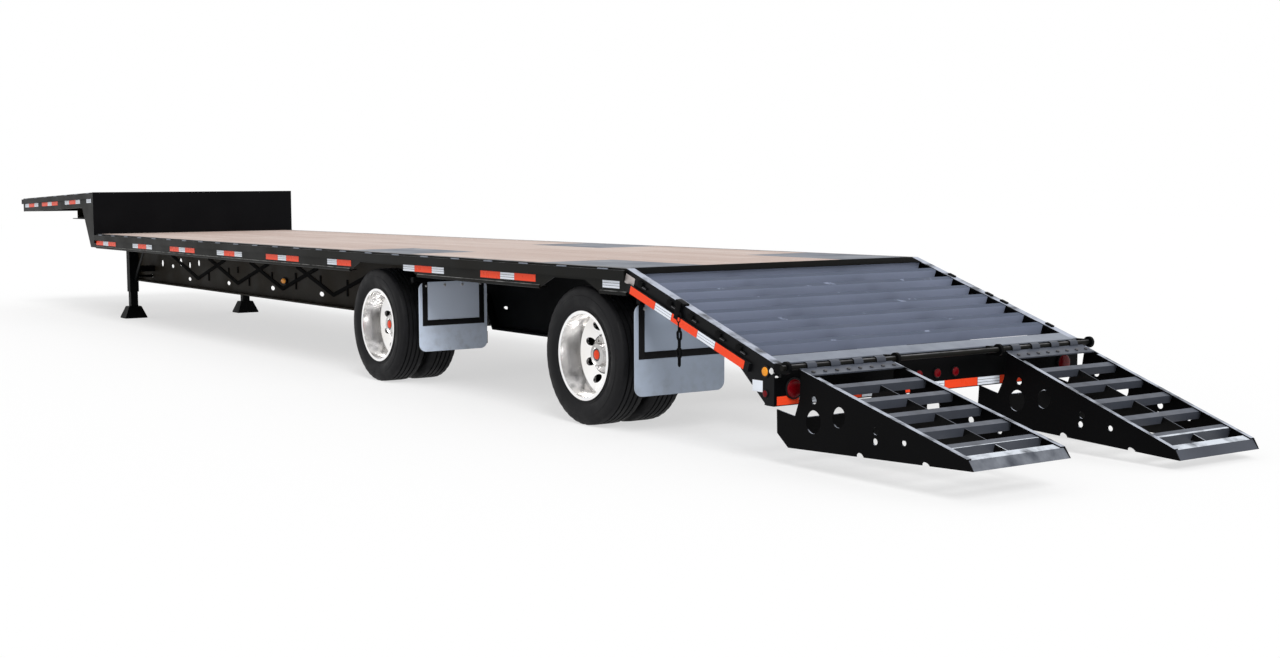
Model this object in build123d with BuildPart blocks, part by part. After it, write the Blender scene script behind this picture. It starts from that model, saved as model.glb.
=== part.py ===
from build123d import *
import os
from math import cos, pi, radians, sin, tan

os.makedirs("parts", exist_ok=True)

# Driving dimensions, in millimetres and degrees.
# The frame stands on the ground at Z 0, +X points forward and +Y to the left.

# Overall
TRAILER_WIDTH = 2591
DECK_HEIGHT = 1067
UPPER_HEIGHT = 1575
MAIN_LENGTH = 11278
UPPER_LENGTH = 3353
UPPER_FALL = 81
DOVETAIL_RUN = 1524
DOVETAIL_SLOPE = 18.5

# Decks
BOARD_THICKNESS = 35
BOARD_COUNT = 12
BOARD_GAP = 4
COVER_THICKNESS = 8
COVER_LENGTH = 1120
COVER_BOARDS = 3

# Side rails
RAIL_DEPTH = 165
RAIL_ARCH_DEPTH = 91
RAIL_ARCH_SLOPE = 180
RAIL_LIP_DIAMETER = 28
UPPER_RAIL_DEPTH = 178
RAIL_FLANGE = 60
RAIL_WALL = 8
RUB_BAR_THICKNESS = 12
RUB_BAR_DEPTH = 64
RUB_BAR_DROP = 12
RUB_SPOOL_LENGTH = 13.5
RUB_SPOOL_DIAMETER = 40
RUB_SPOOL_PITCH = 470

# Main beams
BEAM_SPACING = 966
BEAM_FLANGE = 150
BEAM_FLANGE_THICKNESS = 16
BEAM_WEB = 10
BEAM_DEPTH = 516
BEAM_OVER_AXLE = 171.5
BEAM_TAPER_START = 5300
BEAM_TAPER_END = 4500
BELLY_FRONT = 560
BELLY_REAR = 800
BELLY_SLOPE = 150
NECK_FOOT_REACH = 700
NECK_TOP_REACH = 1000
NOSE_SETBACK = 110
NECK_DEPTH = 248
WEB_BRACE_WIDTH = 40
WEB_BRACE_THICKNESS = 8
WEB_BRACE_START = 6115
WEB_BRACE_PITCH = 1262
WEB_BRACE_COUNT = 4
WEB_BRACE_REACH = 900
WEB_BRACE_LOW = 95
WEB_BRACE_RISE = 250
WEB_POST_WIDTH = 28

# Crossmembers
CROSS_DEPTH = 76
CROSS_FLANGE = 60
CROSS_WALL = 6
CROSS_PITCH = 560

# Drop plate and neck
DROP_PLATE = 8
NECK_SIDE_FOOT = 220
NECK_SIDE_HEAD = 545

# Coupler
COUPLER_THICKNESS = 10
COUPLER_LENGTH = 1500
COUPLER_WIDTH = 1250
KINGPIN_SETBACK = 914
KINGPIN_COLLAR_DIAMETER = 73
KINGPIN_COLLAR_LENGTH = 35
KINGPIN_NECK_DIAMETER = 50.8
KINGPIN_NECK_LENGTH = 35
KINGPIN_HEAD_DIAMETER = 71.4
KINGPIN_HEAD_LENGTH = 14

# Landing gear
LEG_SETBACK = 280
LEG_HALF_SPACING = 740
LEG_OUTER = 112
LEG_INNER = 90
LEG_RISE = 44
LEG_OUTER_BOTTOM = 330
FOOT_WIDTH = 275
FOOT_LENGTH = 215
FOOT_THICKNESS = 14
FOOT_FLARE_HEIGHT = 148
FOOT_NECK_WIDTH = 160
FOOT_NECK_LENGTH = 130
LEG_BRACKET_DROP = 376
LEG_BRACKET_LENGTH = 200
SHAFT_DIAMETER = 32
SHAFT_RISE = 80
SHAFT_HOLE = 52
BRACE_BAR = 70
BRACE_LOW = 420
CRANK_ROD = 22
CRANK_OUT = 120
CRANK_DROP = 300
CRANK_GRIP = 140

# Axles and wheels
AXLE_SPREAD = 3073
REAR_AXLE_SETBACK = 560
TRACK = 1969
DUAL_SPACING = 286
TYRE_HEADROOM = 137
TYRE_WIDTH = 250
TREAD_WIDTH = 196
TYRE_FACETS = 44
SHOULDER_DROP = 18
BEAD_WIDTH = 190
RIM_RADIUS = 292
RIM_FLANGE_RADIUS = 300
RIM_WALL = 14
RIM_FLANGE_WIDTH = 12
RIM_FLANGE_GAP = 4
DISC_THICKNESS = 13
DISC_RISE = 75
DISC_FLAT_RADIUS = 168
HAND_HOLE_COUNT = 10
HAND_HOLE_DIAMETER = 58
HAND_HOLE_CIRCLE = 440
HUB_DIAMETER = 250
HUB_FACE = 85
HUB_CAP_DIAMETER = 150
HUB_CAP_FACE = 140
DRUM_DIAMETER = 390
DRUM_WIDTH = 200
DRUM_FACE = 60
SPINDLE_DIAMETER = 90
SPINDLE_CLEARANCE = 0.3
SPINDLE_END = 70
AXLE_DIAMETER = 127
AXLE_SHOULDER = 40
SEAT_CLEARANCE = 0.3

# Suspension and brakes
ARM_WIDTH = 90
ARM_DEPTH = 100
ARM_FORWARD = 560
ARM_REARWARD = 430
HANGER_LENGTH = 140
HANGER_WIDTH = 110
SEAT_LENGTH = 170
SPRING_DIAMETER = 240
SPRING_SETBACK = 300
CHAMBER_DIAMETER = 140
CHAMBER_LENGTH = 180
CHAMBER_Y = 635
CHAMBER_RISE = 150
CHAMBER_BRACKET = 40
TANK_DIAMETER = 240
TANK_DROP = 366
TANK_WALL = 8
TANK_HANGER_WIDTH = 290

# Mud flaps
FLAP_SETBACK = 190
FLAP_BAR_END = 1250
FLAP_DROP = 111
FLAP_THICKNESS = 10
FLAP_CORNER = 60
FLAP_BAR = 40

# Dovetail
SIDE_DEPTH = 140
BAR_COUNT = 8
BAR_PITCH = 168
BAR_START = 86
BAR_HEIGHT = 66
BAR_LEG = 50
BAR_WALL = 6
BAR_TOP_DROP = 4
LIP_LENGTH = 100
LIP_THICKNESS = 8
REAR_FACE_SETBACK = 94
REAR_PLATE = 8
REAR_FRAME_HEIGHT = 227
REAR_FRAME_DEPTH = 90
GUSSET_FRONT = 1132
GUSSET_FOOT = 1365
TAIL_STEP = 120
TAPE_BAR_DROP = 78
TAPE_BAR_DEPTH = 50
TAPE_BAR_THICKNESS = 20
TAPE_BAR_START = 60
TAPE_BAR_END = 1330

# Ramp hinge
HINGE_RISE = 14
ROD_DIAMETER = 32
ROD_CLEARANCE = 0.3
LUG_THICKNESS = 20
LUG_RADIUS = 36
KNUCKLE_RADIUS = 25
KNUCKLE_LENGTH = 70
KNUCKLE_COUNT = 4
LEAF_LENGTH = 120
LEAF_THICKNESS = 8

# Ramps
RAMP_INNER = 470
RAMP_OUTER = 1187
RAMP_PLATE = 8
RAMP_TOP_DROP = 4
RAMP_LENGTH = 1316
TOE_REACH = 54
TOE_DEPTH = 45
RAMP_FLANGE = 32
RAMP_HEAD = 40
HEEL_DEPTH = 465
HEEL_REACH = 54
HOOK_REACH = 57
HOOK_DEPTH = 419
HOOK_TIP_REACH = 95
HOOK_TIP_DEPTH = 290
HOOK_ROOT_REACH = 60
HOOK_ROOT_DEPTH = 270
HEEL_PLATE_TOP = 285
HEEL_PLATE_FOOT = 440
HEAD_REACH = 72
HEAD_DEPTH = 167
RAMP_BAR_START = 310
RAMP_BAR_PITCH = 215
RAMP_BAR_COUNT = 5
RAMP_BAR_HEIGHT = 50
RAMP_LAST_BAR_HEIGHT = 90
RAMP_BAR_LEG = 50
RIB_THICKNESS = 6
RIB_DEPTH = 330

# Lamps
TAIL_LAMP_DIAMETER = 110
TAIL_LAMP_DEPTH = 22
TAIL_LAMP_Y = 1130
TAIL_LAMP_RISE = 95
SMALL_LAMP_DIAMETER = 62
SMALL_LAMP_DEPTH = 18
SMALL_LAMP_PITCH = 153
SMALL_LAMP_RISE = 105
SIDE_LAMP_DIAMETER = 70
SIDE_LAMP_DEPTH = 14
BEAM_LAMP_DIAMETER = 60
BEAM_LAMP_REACH = 7321
BEAM_LAMP_RISE = 200

# Rest angles below the horizontal, one row a ramp: side, sign of Y, angle
RAMPS = [("left", 1, 15.0), ("right", -1, 20.0)]
# One row a side: side, sign of Y
SIDES = [("left", 1), ("right", -1)]
# Side rail cut-aways, one row an axle: reach behind the axle, reach ahead of it
RAIL_ARCHES = {"front": (786, 434), "rear": (255, 481)}
# Mud flaps, one row an axle: inner edge, outer edge, foot
FLAPS = {"front": (575, 1192, 290), "rear": (566, 1280, 258)}
# Oval holes in the beam webs, one row a hole:
# reach ahead of the kink, rise above the beam's foot, length, height
BEAM_HOLES = [
    (11160, 251, 86, 86),
    (10786, 228, 100, 44),
    (10496, 287, 96, 96),
    (10185, 262, 76, 76),
    (9877, 297, 76, 76),
    (10197, 96, 110, 46),
    (8930, 104, 110, 46),
    (7659, 108, 120, 48),
    (6409, 108, 120, 48),
    (2823, 179, 80, 26),
]
# Short posts on the beam webs, one row a post:
# reach ahead of the kink, rise of its lower and upper ends above the beam's foot
WEB_POSTS = [
    (9542, 104, 214),
    (8908, 170, 278),
    (8629, 230, 298),
    (8302, 101, 234),
    (7657, 168, 278),
    (7030, 124, 294),
    (6416, 197, 292),
    (5794, 117, 276),
]
# Oval cuts in the ramp sides, one row a cut: run, depth below the hinge, length, height
RAMP_CUTS = [
    (184, 128, 44, 44),
    (212, 246, 120, 132),
    (396, 146, 100, 116),
    (682, 110, 44, 40),
    (692, 166, 38, 36),
    (890, 92, 36, 32),
    (608, 290, 60, 44),
    (1067, 146, 60, 36),
]

# Places worked out from the driving dimensions
SLOPE_TAN = tan(radians(DOVETAIL_SLOPE))
SLOPE_COS = cos(radians(DOVETAIL_SLOPE))
HALF_WIDTH = TRAILER_WIDTH / 2
RAIL_FACE = HALF_WIDTH - RUB_BAR_THICKNESS - RUB_SPOOL_LENGTH
RAIL_INSIDE = RAIL_FACE - RAIL_WALL
DECK_SPAN = 2 * (RAIL_FACE - RAIL_FLANGE - BOARD_GAP)
BOARD_WIDTH = (DECK_SPAN - (BOARD_COUNT - 1) * BOARD_GAP) / BOARD_COUNT
TYRE_RADIUS = (DECK_HEIGHT - TYRE_HEADROOM) / 2
DECK_UNDER = DECK_HEIGHT - BOARD_THICKNESS
LEAST_RAMP_ANGLE = min(row[2] for row in RAMPS)
TOE_X = (RAMP_LENGTH + TOE_REACH) * cos(radians(LEAST_RAMP_ANGLE))
TOE_LIFT = (RAMP_TOP_DROP + TOE_DEPTH) * sin(radians(LEAST_RAMP_ANGLE))
REAR_REACH = DOVETAIL_RUN + TOE_X - TOE_LIFT
X_KINK = (REAR_REACH - MAIN_LENGTH - UPPER_LENGTH) / 2
X_DROP = X_KINK + MAIN_LENGTH
X_NOSE = X_DROP + UPPER_LENGTH
X_HINGE = X_KINK - DOVETAIL_RUN
Z_HINGE = DECK_HEIGHT - DOVETAIL_RUN * SLOPE_TAN + HINGE_RISE / SLOPE_COS
X_REAR_FACE = X_HINGE + REAR_FACE_SETBACK
X_AXLES = [("front", X_KINK + REAR_AXLE_SETBACK + AXLE_SPREAD), ("rear", X_KINK + REAR_AXLE_SETBACK)]
BEAM_Y = BEAM_SPACING / 2
BEAM_TOP = DECK_UNDER - CROSS_DEPTH
BEAM_BOTTOM = BEAM_TOP - BEAM_DEPTH
BEAM_TAIL_BOTTOM = TYRE_RADIUS + AXLE_DIAMETER / 2 + BEAM_OVER_AXLE
NECK_DROP = BOARD_THICKNESS + CROSS_DEPTH
NECK_BOTTOM = UPPER_HEIGHT - NECK_DROP - NECK_DEPTH
REAR_FRAME_BOTTOM = Z_HINGE - REAR_FRAME_HEIGHT
LEG_TOP = BEAM_TOP + LEG_RISE
LEG_BRACKET_BOTTOM = BEAM_TOP - LEG_BRACKET_DROP
CHAMBER_HEIGHT = TYRE_RADIUS + CHAMBER_RISE
TANK_HEIGHT = BEAM_TOP - TANK_DROP
FLAP_TOP = BEAM_TOP - FLAP_DROP
DUAL_Y = TRACK / 2
BAR_SEAT = BAR_TOP_DROP + BAR_HEIGHT
ARM_TOP = TYRE_RADIUS - AXLE_DIAMETER / 2
LEG_X = X_DROP + LEG_SETBACK
SHAFT_HEIGHT = BEAM_BOTTOM + SHAFT_RISE
X_BELLY_FRONT = X_KINK + REAR_AXLE_SETBACK + AXLE_SPREAD - BELLY_FRONT
X_BELLY_REAR = X_KINK + REAR_AXLE_SETBACK + BELLY_REAR


def upright(y):
    """Plane across the trailer at y, drawn with X forward and Z up."""
    return Plane(origin=(0, y, 0), x_dir=(1, 0, 0), z_dir=(0, -1, 0))


def sloping(x, y, z, angle):
    """Plane across the trailer whose first axis runs rearward and down by angle."""
    run = (-cos(radians(angle)), 0, -sin(radians(angle)))
    return Plane(origin=(x, y, z), x_dir=run, z_dir=(0, 1, 0))


def slab(low, high, mode=Mode.ADD):
    """Box between two corners."""
    centre = tuple((a + b) / 2 for a, b in zip(low, high))
    with Locations(centre):
        Box(high[0] - low[0], high[1] - low[1], high[2] - low[2], mode=mode)


def plate(plane, points, thickness, mode=Mode.ADD):
    """Flat plate of one outline, centred on its plane."""
    with BuildSketch(plane) as outline:
        with BuildLine():
            Polyline(*points, close=True)
        make_face()
    extrude(outline.sketch, amount=thickness / 2, both=True, mode=mode)


def drum(x, y, z, direction, radius, length, mode=Mode.ADD):
    """Cylinder that starts at a point and runs along a direction."""
    with BuildSketch(Plane(origin=(x, y, z), z_dir=direction)) as disc:
        Circle(radius)
    extrude(disc.sketch, amount=length, mode=mode)


def save(piece, name):
    """Label one piece and write it."""
    piece.part.label = name
    export_step(piece.part, f"parts/{name}.step")


def upper_top(x):
    """Height of the upper deck's top at x: it falls from the step to the nose."""
    return UPPER_HEIGHT - UPPER_FALL * (x - X_DROP) / UPPER_LENGTH


def falling_slab(low, high, shallow, deep):
    """Slab between two corners of X and Y, its faces at two depths below the upper deck's top."""
    x_low, y_low = low
    x_high, y_high = high
    outline = [
        (x_low, upper_top(x_low) - shallow),
        (x_high, upper_top(x_high) - shallow),
        (x_high, upper_top(x_high) - deep),
        (x_low, upper_top(x_low) - deep),
    ]
    plate(upright((y_low + y_high) / 2), outline, y_high - y_low)


def slope_height(run, drop):
    """Height of a line that lies drop below the dovetail's top plane, run behind the kink."""
    return DECK_HEIGHT - run * SLOPE_TAN - drop / SLOPE_COS


# Crossmember stations, kept clear of the wheels

def over_wheel(x):
    """Whether a station lies over a wheel, where the boards give way to cover plates."""
    return any(abs(x - axle) < COVER_LENGTH / 2 for _, axle in X_AXLES)


MAIN_STATIONS = []
MAIN_STATION_COUNT = int(MAIN_LENGTH // CROSS_PITCH)
for index in range(MAIN_STATION_COUNT):
    MAIN_STATIONS.append(X_KINK + (index + 0.5) * MAIN_LENGTH / MAIN_STATION_COUNT)
UPPER_STATIONS = []
UPPER_STATION_COUNT = int(UPPER_LENGTH // CROSS_PITCH)
for index in range(UPPER_STATION_COUNT):
    UPPER_STATIONS.append(X_DROP + (index + 0.5) * UPPER_LENGTH / UPPER_STATION_COUNT)

# Main beams: I sections that rise into the gooseneck and taper into the dovetail

TAIL_END = DOVETAIL_RUN - TAIL_STEP
BEAM_OUTLINE = [
    (X_KINK - TAIL_END, slope_height(TAIL_END, BAR_SEAT)),
    (X_KINK, slope_height(0, BAR_SEAT)),
    (X_KINK, BEAM_TOP),
    (X_DROP + DROP_PLATE, BEAM_TOP),
    (X_DROP + DROP_PLATE, upper_top(X_DROP + DROP_PLATE) - NECK_DROP),
    (X_NOSE - NOSE_SETBACK, upper_top(X_NOSE - NOSE_SETBACK) - NECK_DROP),
    (X_NOSE - NOSE_SETBACK, NECK_BOTTOM),
    (X_DROP + NECK_TOP_REACH, NECK_BOTTOM),
    (X_DROP + NECK_FOOT_REACH, BEAM_BOTTOM),
    (X_KINK + BEAM_TAPER_START, BEAM_BOTTOM),
    (X_KINK + BEAM_TAPER_END, BEAM_TAIL_BOTTOM),
    (X_BELLY_FRONT, BEAM_TAIL_BOTTOM),
    (X_BELLY_FRONT - BELLY_SLOPE, BEAM_BOTTOM),
    (X_BELLY_REAR + BELLY_SLOPE, BEAM_BOTTOM),
    (X_BELLY_REAR, BEAM_TAIL_BOTTOM),
    (X_KINK, BEAM_TAIL_BOTTOM),
    (X_KINK - TAIL_END, REAR_FRAME_BOTTOM + BAR_SEAT),
]
with BuildPart() as main_beams:
    for _, sign in SIDES:
        plate(upright(sign * BEAM_Y), BEAM_OUTLINE, BEAM_FLANGE)
        for face in (-1, 1):
            with BuildSketch(upright(sign * BEAM_Y + face * BEAM_FLANGE / 2)):
                with BuildLine():
                    Polyline(*BEAM_OUTLINE, close=True)
                make_face()
                offset(amount=-BEAM_FLANGE_THICKNESS, kind=Kind.INTERSECTION, mode=Mode.REPLACE)
            extrude(amount=face * (BEAM_FLANGE - BEAM_WEB) / 2, mode=Mode.SUBTRACT)
        with BuildSketch(upright(sign * BEAM_Y)) as holes:
            for reach, rise, length, height in BEAM_HOLES:
                with Locations((X_KINK + reach, BEAM_BOTTOM + rise)):
                    Ellipse(length / 2, height / 2)
            with Locations((LEG_X, SHAFT_HEIGHT)):
                Circle(SHAFT_HOLE / 2)
        extrude(holes.sketch, amount=BEAM_WEB, both=True, mode=Mode.SUBTRACT)
save(main_beams, "main_beams")

# Flat braces that zigzag along the outer faces of the beam webs, with short posts among them

with BuildPart() as web_braces:
    for _, sign in SIDES:
        for index in range(WEB_BRACE_COUNT):
            x = X_KINK + WEB_BRACE_START + index * WEB_BRACE_PITCH
            low = BEAM_BOTTOM + WEB_BRACE_LOW
            high = low + WEB_BRACE_RISE
            chevron = [
                (x, low),
                (x + WEB_BRACE_REACH, high),
                (x + WEB_BRACE_REACH, high + WEB_BRACE_WIDTH),
                (x, low + WEB_BRACE_WIDTH),
                (x - WEB_BRACE_REACH, high + WEB_BRACE_WIDTH),
                (x - WEB_BRACE_REACH, high),
            ]
            brace_y = sign * (BEAM_Y + BEAM_WEB / 2 + WEB_BRACE_THICKNESS / 2)
            plate(upright(brace_y), chevron, WEB_BRACE_THICKNESS)
        web_face = BEAM_Y + BEAM_WEB / 2
        near, far = sorted((sign * web_face, sign * (web_face + WEB_BRACE_THICKNESS)))
        for reach, foot, head in WEB_POSTS:
            slab((X_KINK + reach - WEB_POST_WIDTH / 2, near, BEAM_BOTTOM + foot),
                 (X_KINK + reach + WEB_POST_WIDTH / 2, far, BEAM_BOTTOM + head))
save(web_braces, "web_braces")

# Crossmembers: I sections laid over the beams, short ones over the wheels


def crossmember(x, top, half_length):
    """One I section across the trailer under the boards."""
    low = top - CROSS_DEPTH
    slab((x - CROSS_FLANGE / 2, -half_length, top - CROSS_WALL), (x + CROSS_FLANGE / 2, half_length, top))
    slab((x - CROSS_FLANGE / 2, -half_length, low), (x + CROSS_FLANGE / 2, half_length, low + CROSS_WALL))
    slab((x - CROSS_WALL / 2, -half_length, low), (x + CROSS_WALL / 2, half_length, top))


with BuildPart() as crossmembers:
    for x in MAIN_STATIONS:
        crossmember(x, DECK_UNDER, BEAM_Y + BEAM_FLANGE / 2 if over_wheel(x) else RAIL_INSIDE)
    for x in UPPER_STATIONS:
        edge = CROSS_FLANGE / 2
        rib = CROSS_WALL / 2
        foot = BOARD_THICKNESS + CROSS_DEPTH
        head = BOARD_THICKNESS + CROSS_WALL
        falling_slab((x - edge, -RAIL_INSIDE), (x + edge, RAIL_INSIDE), BOARD_THICKNESS, head)
        falling_slab((x - edge, -RAIL_INSIDE), (x + edge, RAIL_INSIDE), foot - CROSS_WALL, foot)
        falling_slab((x - rib, -RAIL_INSIDE), (x + rib, RAIL_INSIDE), BOARD_THICKNESS, foot)
save(crossmembers, "crossmembers")

# Side rails: channels open to the inside, with a rub bar on spools


def falling_channel(x_low, x_high, sign, depth):
    """Channel along one side of the upper deck, its flanges pointing inward."""
    near, far = sorted((sign * (RAIL_FACE - RAIL_FLANGE), sign * RAIL_FACE))
    web_near, web_far = sorted((sign * RAIL_INSIDE, sign * RAIL_FACE))
    falling_slab((x_low, near), (x_high, far), 0, RAIL_WALL)
    falling_slab((x_low, near), (x_high, far), depth - RAIL_WALL, depth)
    falling_slab((x_low, web_near), (x_high, web_far), 0, depth)


def arched_channel(sign):
    """Main side rail, its foot cut away over the wheels and rolled into a lip elsewhere."""
    low = DECK_HEIGHT - RAIL_DEPTH
    high = DECK_HEIGHT - RAIL_ARCH_DEPTH
    outline = [(X_KINK, DECK_HEIGHT), (X_DROP, DECK_HEIGHT), (X_DROP, low)]
    feet = [X_DROP]
    for place, axle in X_AXLES:
        behind, ahead = RAIL_ARCHES[place]
        outline.append((axle + ahead, low))
        outline.append((axle + ahead - RAIL_ARCH_SLOPE, high))
        outline.append((axle - behind + RAIL_ARCH_SLOPE, high))
        outline.append((axle - behind, low))
        feet = feet + [axle + ahead, axle - behind]
    outline.append((X_KINK, low))
    feet.append(X_KINK)
    plate(upright(sign * (RAIL_FACE - RAIL_WALL / 2)), outline, RAIL_WALL)
    near, far = sorted((sign * (RAIL_FACE - RAIL_FLANGE), sign * RAIL_FACE))
    slab((X_KINK, near, DECK_HEIGHT - RAIL_WALL), (X_DROP, far, DECK_HEIGHT))
    for front, rear in zip(feet[0::2], feet[1::2]):
        slab((rear, near, low), (front, far, low + RAIL_WALL))
        drum(rear, sign * (RAIL_FACE - RAIL_WALL / 2), low + RAIL_WALL / 2, (1, 0, 0),
             RAIL_LIP_DIAMETER / 2, front - rear)


RUB_BAR_FOOT = RUB_BAR_DROP + RUB_BAR_DEPTH
RUB_BAR_MIDDLE = RUB_BAR_DROP + RUB_BAR_DEPTH / 2


def spools(x_low, x_high, sign, height):
    """Spools that hold a rub bar off its rail, at a height given along the bar."""
    count = int((x_high - x_low) // RUB_SPOOL_PITCH)
    for index in range(count):
        x = x_low + (index + 0.5) * (x_high - x_low) / count
        drum(x, sign * RAIL_FACE, height(x), (0, sign, 0), RUB_SPOOL_DIAMETER / 2, RUB_SPOOL_LENGTH)


def main_spool_height(_):
    """Height of the spools on the main rails."""
    return DECK_HEIGHT - RUB_BAR_MIDDLE


def upper_spool_height(x):
    """Height of the spools on the upper rails."""
    return upper_top(x) - RUB_BAR_MIDDLE


for side, sign in SIDES:
    with BuildPart() as side_rail:
        arched_channel(sign)
    save(side_rail, f"side_rail_{side}")
    with BuildPart() as upper_rail:
        falling_channel(X_DROP + DROP_PLATE, X_NOSE, sign, UPPER_RAIL_DEPTH)
    save(upper_rail, f"upper_rail_{side}")

with BuildPart() as rub_rails:
    for _, sign in SIDES:
        near, far = sorted((sign * (HALF_WIDTH - RUB_BAR_THICKNESS), sign * HALF_WIDTH))
        slab((X_KINK, near, DECK_HEIGHT - RUB_BAR_FOOT), (X_DROP, far, DECK_HEIGHT - RUB_BAR_DROP))
        spools(X_KINK, X_DROP, sign, main_spool_height)
        falling_slab((X_DROP + DROP_PLATE, near), (X_NOSE, far), RUB_BAR_DROP, RUB_BAR_FOOT)
        spools(X_DROP + DROP_PLATE, X_NOSE, sign, upper_spool_height)
save(rub_rails, "rub_rails")

# Decks: boards laid lengthwise, with steel covers in their place over the wheels

COVER_WIDTH = COVER_BOARDS * BOARD_WIDTH + (COVER_BOARDS - 1) * BOARD_GAP


def boards(x_low, x_high, top):
    """Boards side by side across the deck."""
    for index in range(BOARD_COUNT):
        y = -DECK_SPAN / 2 + index * (BOARD_WIDTH + BOARD_GAP)
        slab((x_low, y, top - BOARD_THICKNESS), (x_high, y + BOARD_WIDTH, top))


with BuildPart() as main_deck:
    boards(X_KINK + RAIL_FLANGE + BOARD_GAP, X_DROP - BOARD_GAP, DECK_HEIGHT)
    for _, axle in X_AXLES:
        for _, sign in SIDES:
            near, far = sorted((sign * (DECK_SPAN / 2 - COVER_WIDTH - BOARD_GAP / 2), sign * HALF_WIDTH))
            slab((axle - COVER_LENGTH / 2, near, BEAM_TOP), (axle + COVER_LENGTH / 2, far, UPPER_HEIGHT),
                 mode=Mode.SUBTRACT)
save(main_deck, "main_deck")

with BuildPart() as upper_deck:
    for index in range(BOARD_COUNT):
        y = -DECK_SPAN / 2 + index * (BOARD_WIDTH + BOARD_GAP)
        rear = (X_DROP + DROP_PLATE + BOARD_GAP, y)
        front = (X_NOSE - RAIL_FLANGE - BOARD_GAP, y + BOARD_WIDTH)
        falling_slab(rear, front, 0, BOARD_THICKNESS)
save(upper_deck, "upper_deck")

with BuildPart() as wheel_covers:
    for _, axle in X_AXLES:
        for _, sign in SIDES:
            near, far = sorted((sign * (DECK_SPAN / 2 - COVER_WIDTH), sign * (RAIL_FACE - RAIL_FLANGE)))
            rear = max(axle - COVER_LENGTH / 2 + BOARD_GAP, X_KINK + RAIL_FLANGE)
            front = axle + COVER_LENGTH / 2 - BOARD_GAP
            slab((rear, near, DECK_HEIGHT - COVER_THICKNESS), (front, far, DECK_HEIGHT))
save(wheel_covers, "wheel_covers")

# Deck ends: a header channel at the kink and a bolster at the nose

with BuildPart() as deck_header:
    slab((X_KINK, -RAIL_INSIDE, BEAM_TOP), (X_KINK + RAIL_WALL, RAIL_INSIDE, DECK_HEIGHT - RAIL_WALL))
    slab((X_KINK, -RAIL_FACE + RAIL_FLANGE, DECK_HEIGHT - RAIL_WALL),
         (X_KINK + RAIL_FLANGE, RAIL_FACE - RAIL_FLANGE, DECK_HEIGHT))
    slab((X_KINK, -RAIL_FACE + RAIL_FLANGE, DECK_HEIGHT - 2 * RAIL_WALL),
         (X_KINK + RAIL_WALL, RAIL_FACE - RAIL_FLANGE, DECK_HEIGHT))
save(deck_header, "deck_header")

with BuildPart() as nose_bolster:
    inside = RAIL_FACE - RAIL_FLANGE
    foot = UPPER_RAIL_DEPTH - RAIL_WALL
    falling_slab((X_NOSE - RAIL_WALL, -RAIL_INSIDE), (X_NOSE, RAIL_INSIDE), RAIL_WALL, foot)
    falling_slab((X_NOSE - RAIL_FLANGE, -inside), (X_NOSE, inside), 0, RAIL_WALL)
    falling_slab((X_NOSE - RAIL_FLANGE, -inside), (X_NOSE, inside), foot, UPPER_RAIL_DEPTH)
save(nose_bolster, "nose_bolster")

# Drop plate across the step, and the plates that close the neck's sides

with BuildPart() as drop_plate:
    slab((X_DROP, -HALF_WIDTH, BEAM_TOP), (X_DROP + DROP_PLATE, HALF_WIDTH, UPPER_HEIGHT))
save(drop_plate, "drop_plate")

NECK_SIDE_OUTLINE = [
    (X_DROP + DROP_PLATE, DECK_HEIGHT - RAIL_DEPTH),
    (X_DROP + NECK_SIDE_FOOT, DECK_HEIGHT - RAIL_DEPTH),
    (X_DROP + NECK_SIDE_HEAD, upper_top(X_DROP + NECK_SIDE_HEAD) - UPPER_RAIL_DEPTH),
    (X_DROP + DROP_PLATE, upper_top(X_DROP + DROP_PLATE) - UPPER_RAIL_DEPTH),
]
with BuildPart() as neck_sides:
    for _, sign in SIDES:
        plate(upright(sign * (RAIL_FACE - RAIL_WALL / 2)), NECK_SIDE_OUTLINE, RAIL_WALL)
save(neck_sides, "neck_sides")

# Coupler plate and kingpin

COUPLER_BOTTOM = NECK_BOTTOM - COUPLER_THICKNESS
COUPLER_FRONT = X_NOSE - NOSE_SETBACK
with BuildPart() as coupler_plate:
    slab((COUPLER_FRONT - COUPLER_LENGTH, -COUPLER_WIDTH / 2, COUPLER_BOTTOM),
         (COUPLER_FRONT, COUPLER_WIDTH / 2, NECK_BOTTOM))
save(coupler_plate, "coupler_plate")

KINGPIN_STEPS = [
    (KINGPIN_COLLAR_DIAMETER, KINGPIN_COLLAR_LENGTH),
    (KINGPIN_NECK_DIAMETER, KINGPIN_NECK_LENGTH),
    (KINGPIN_HEAD_DIAMETER, KINGPIN_HEAD_LENGTH),
]
with BuildPart() as kingpin:
    top = COUPLER_BOTTOM
    for diameter, length in KINGPIN_STEPS:
        drum(X_NOSE - KINGPIN_SETBACK, 0, top, (0, 0, -1), diameter / 2, length)
        top = top - length
save(kingpin, "kingpin")

# Landing gear

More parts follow.
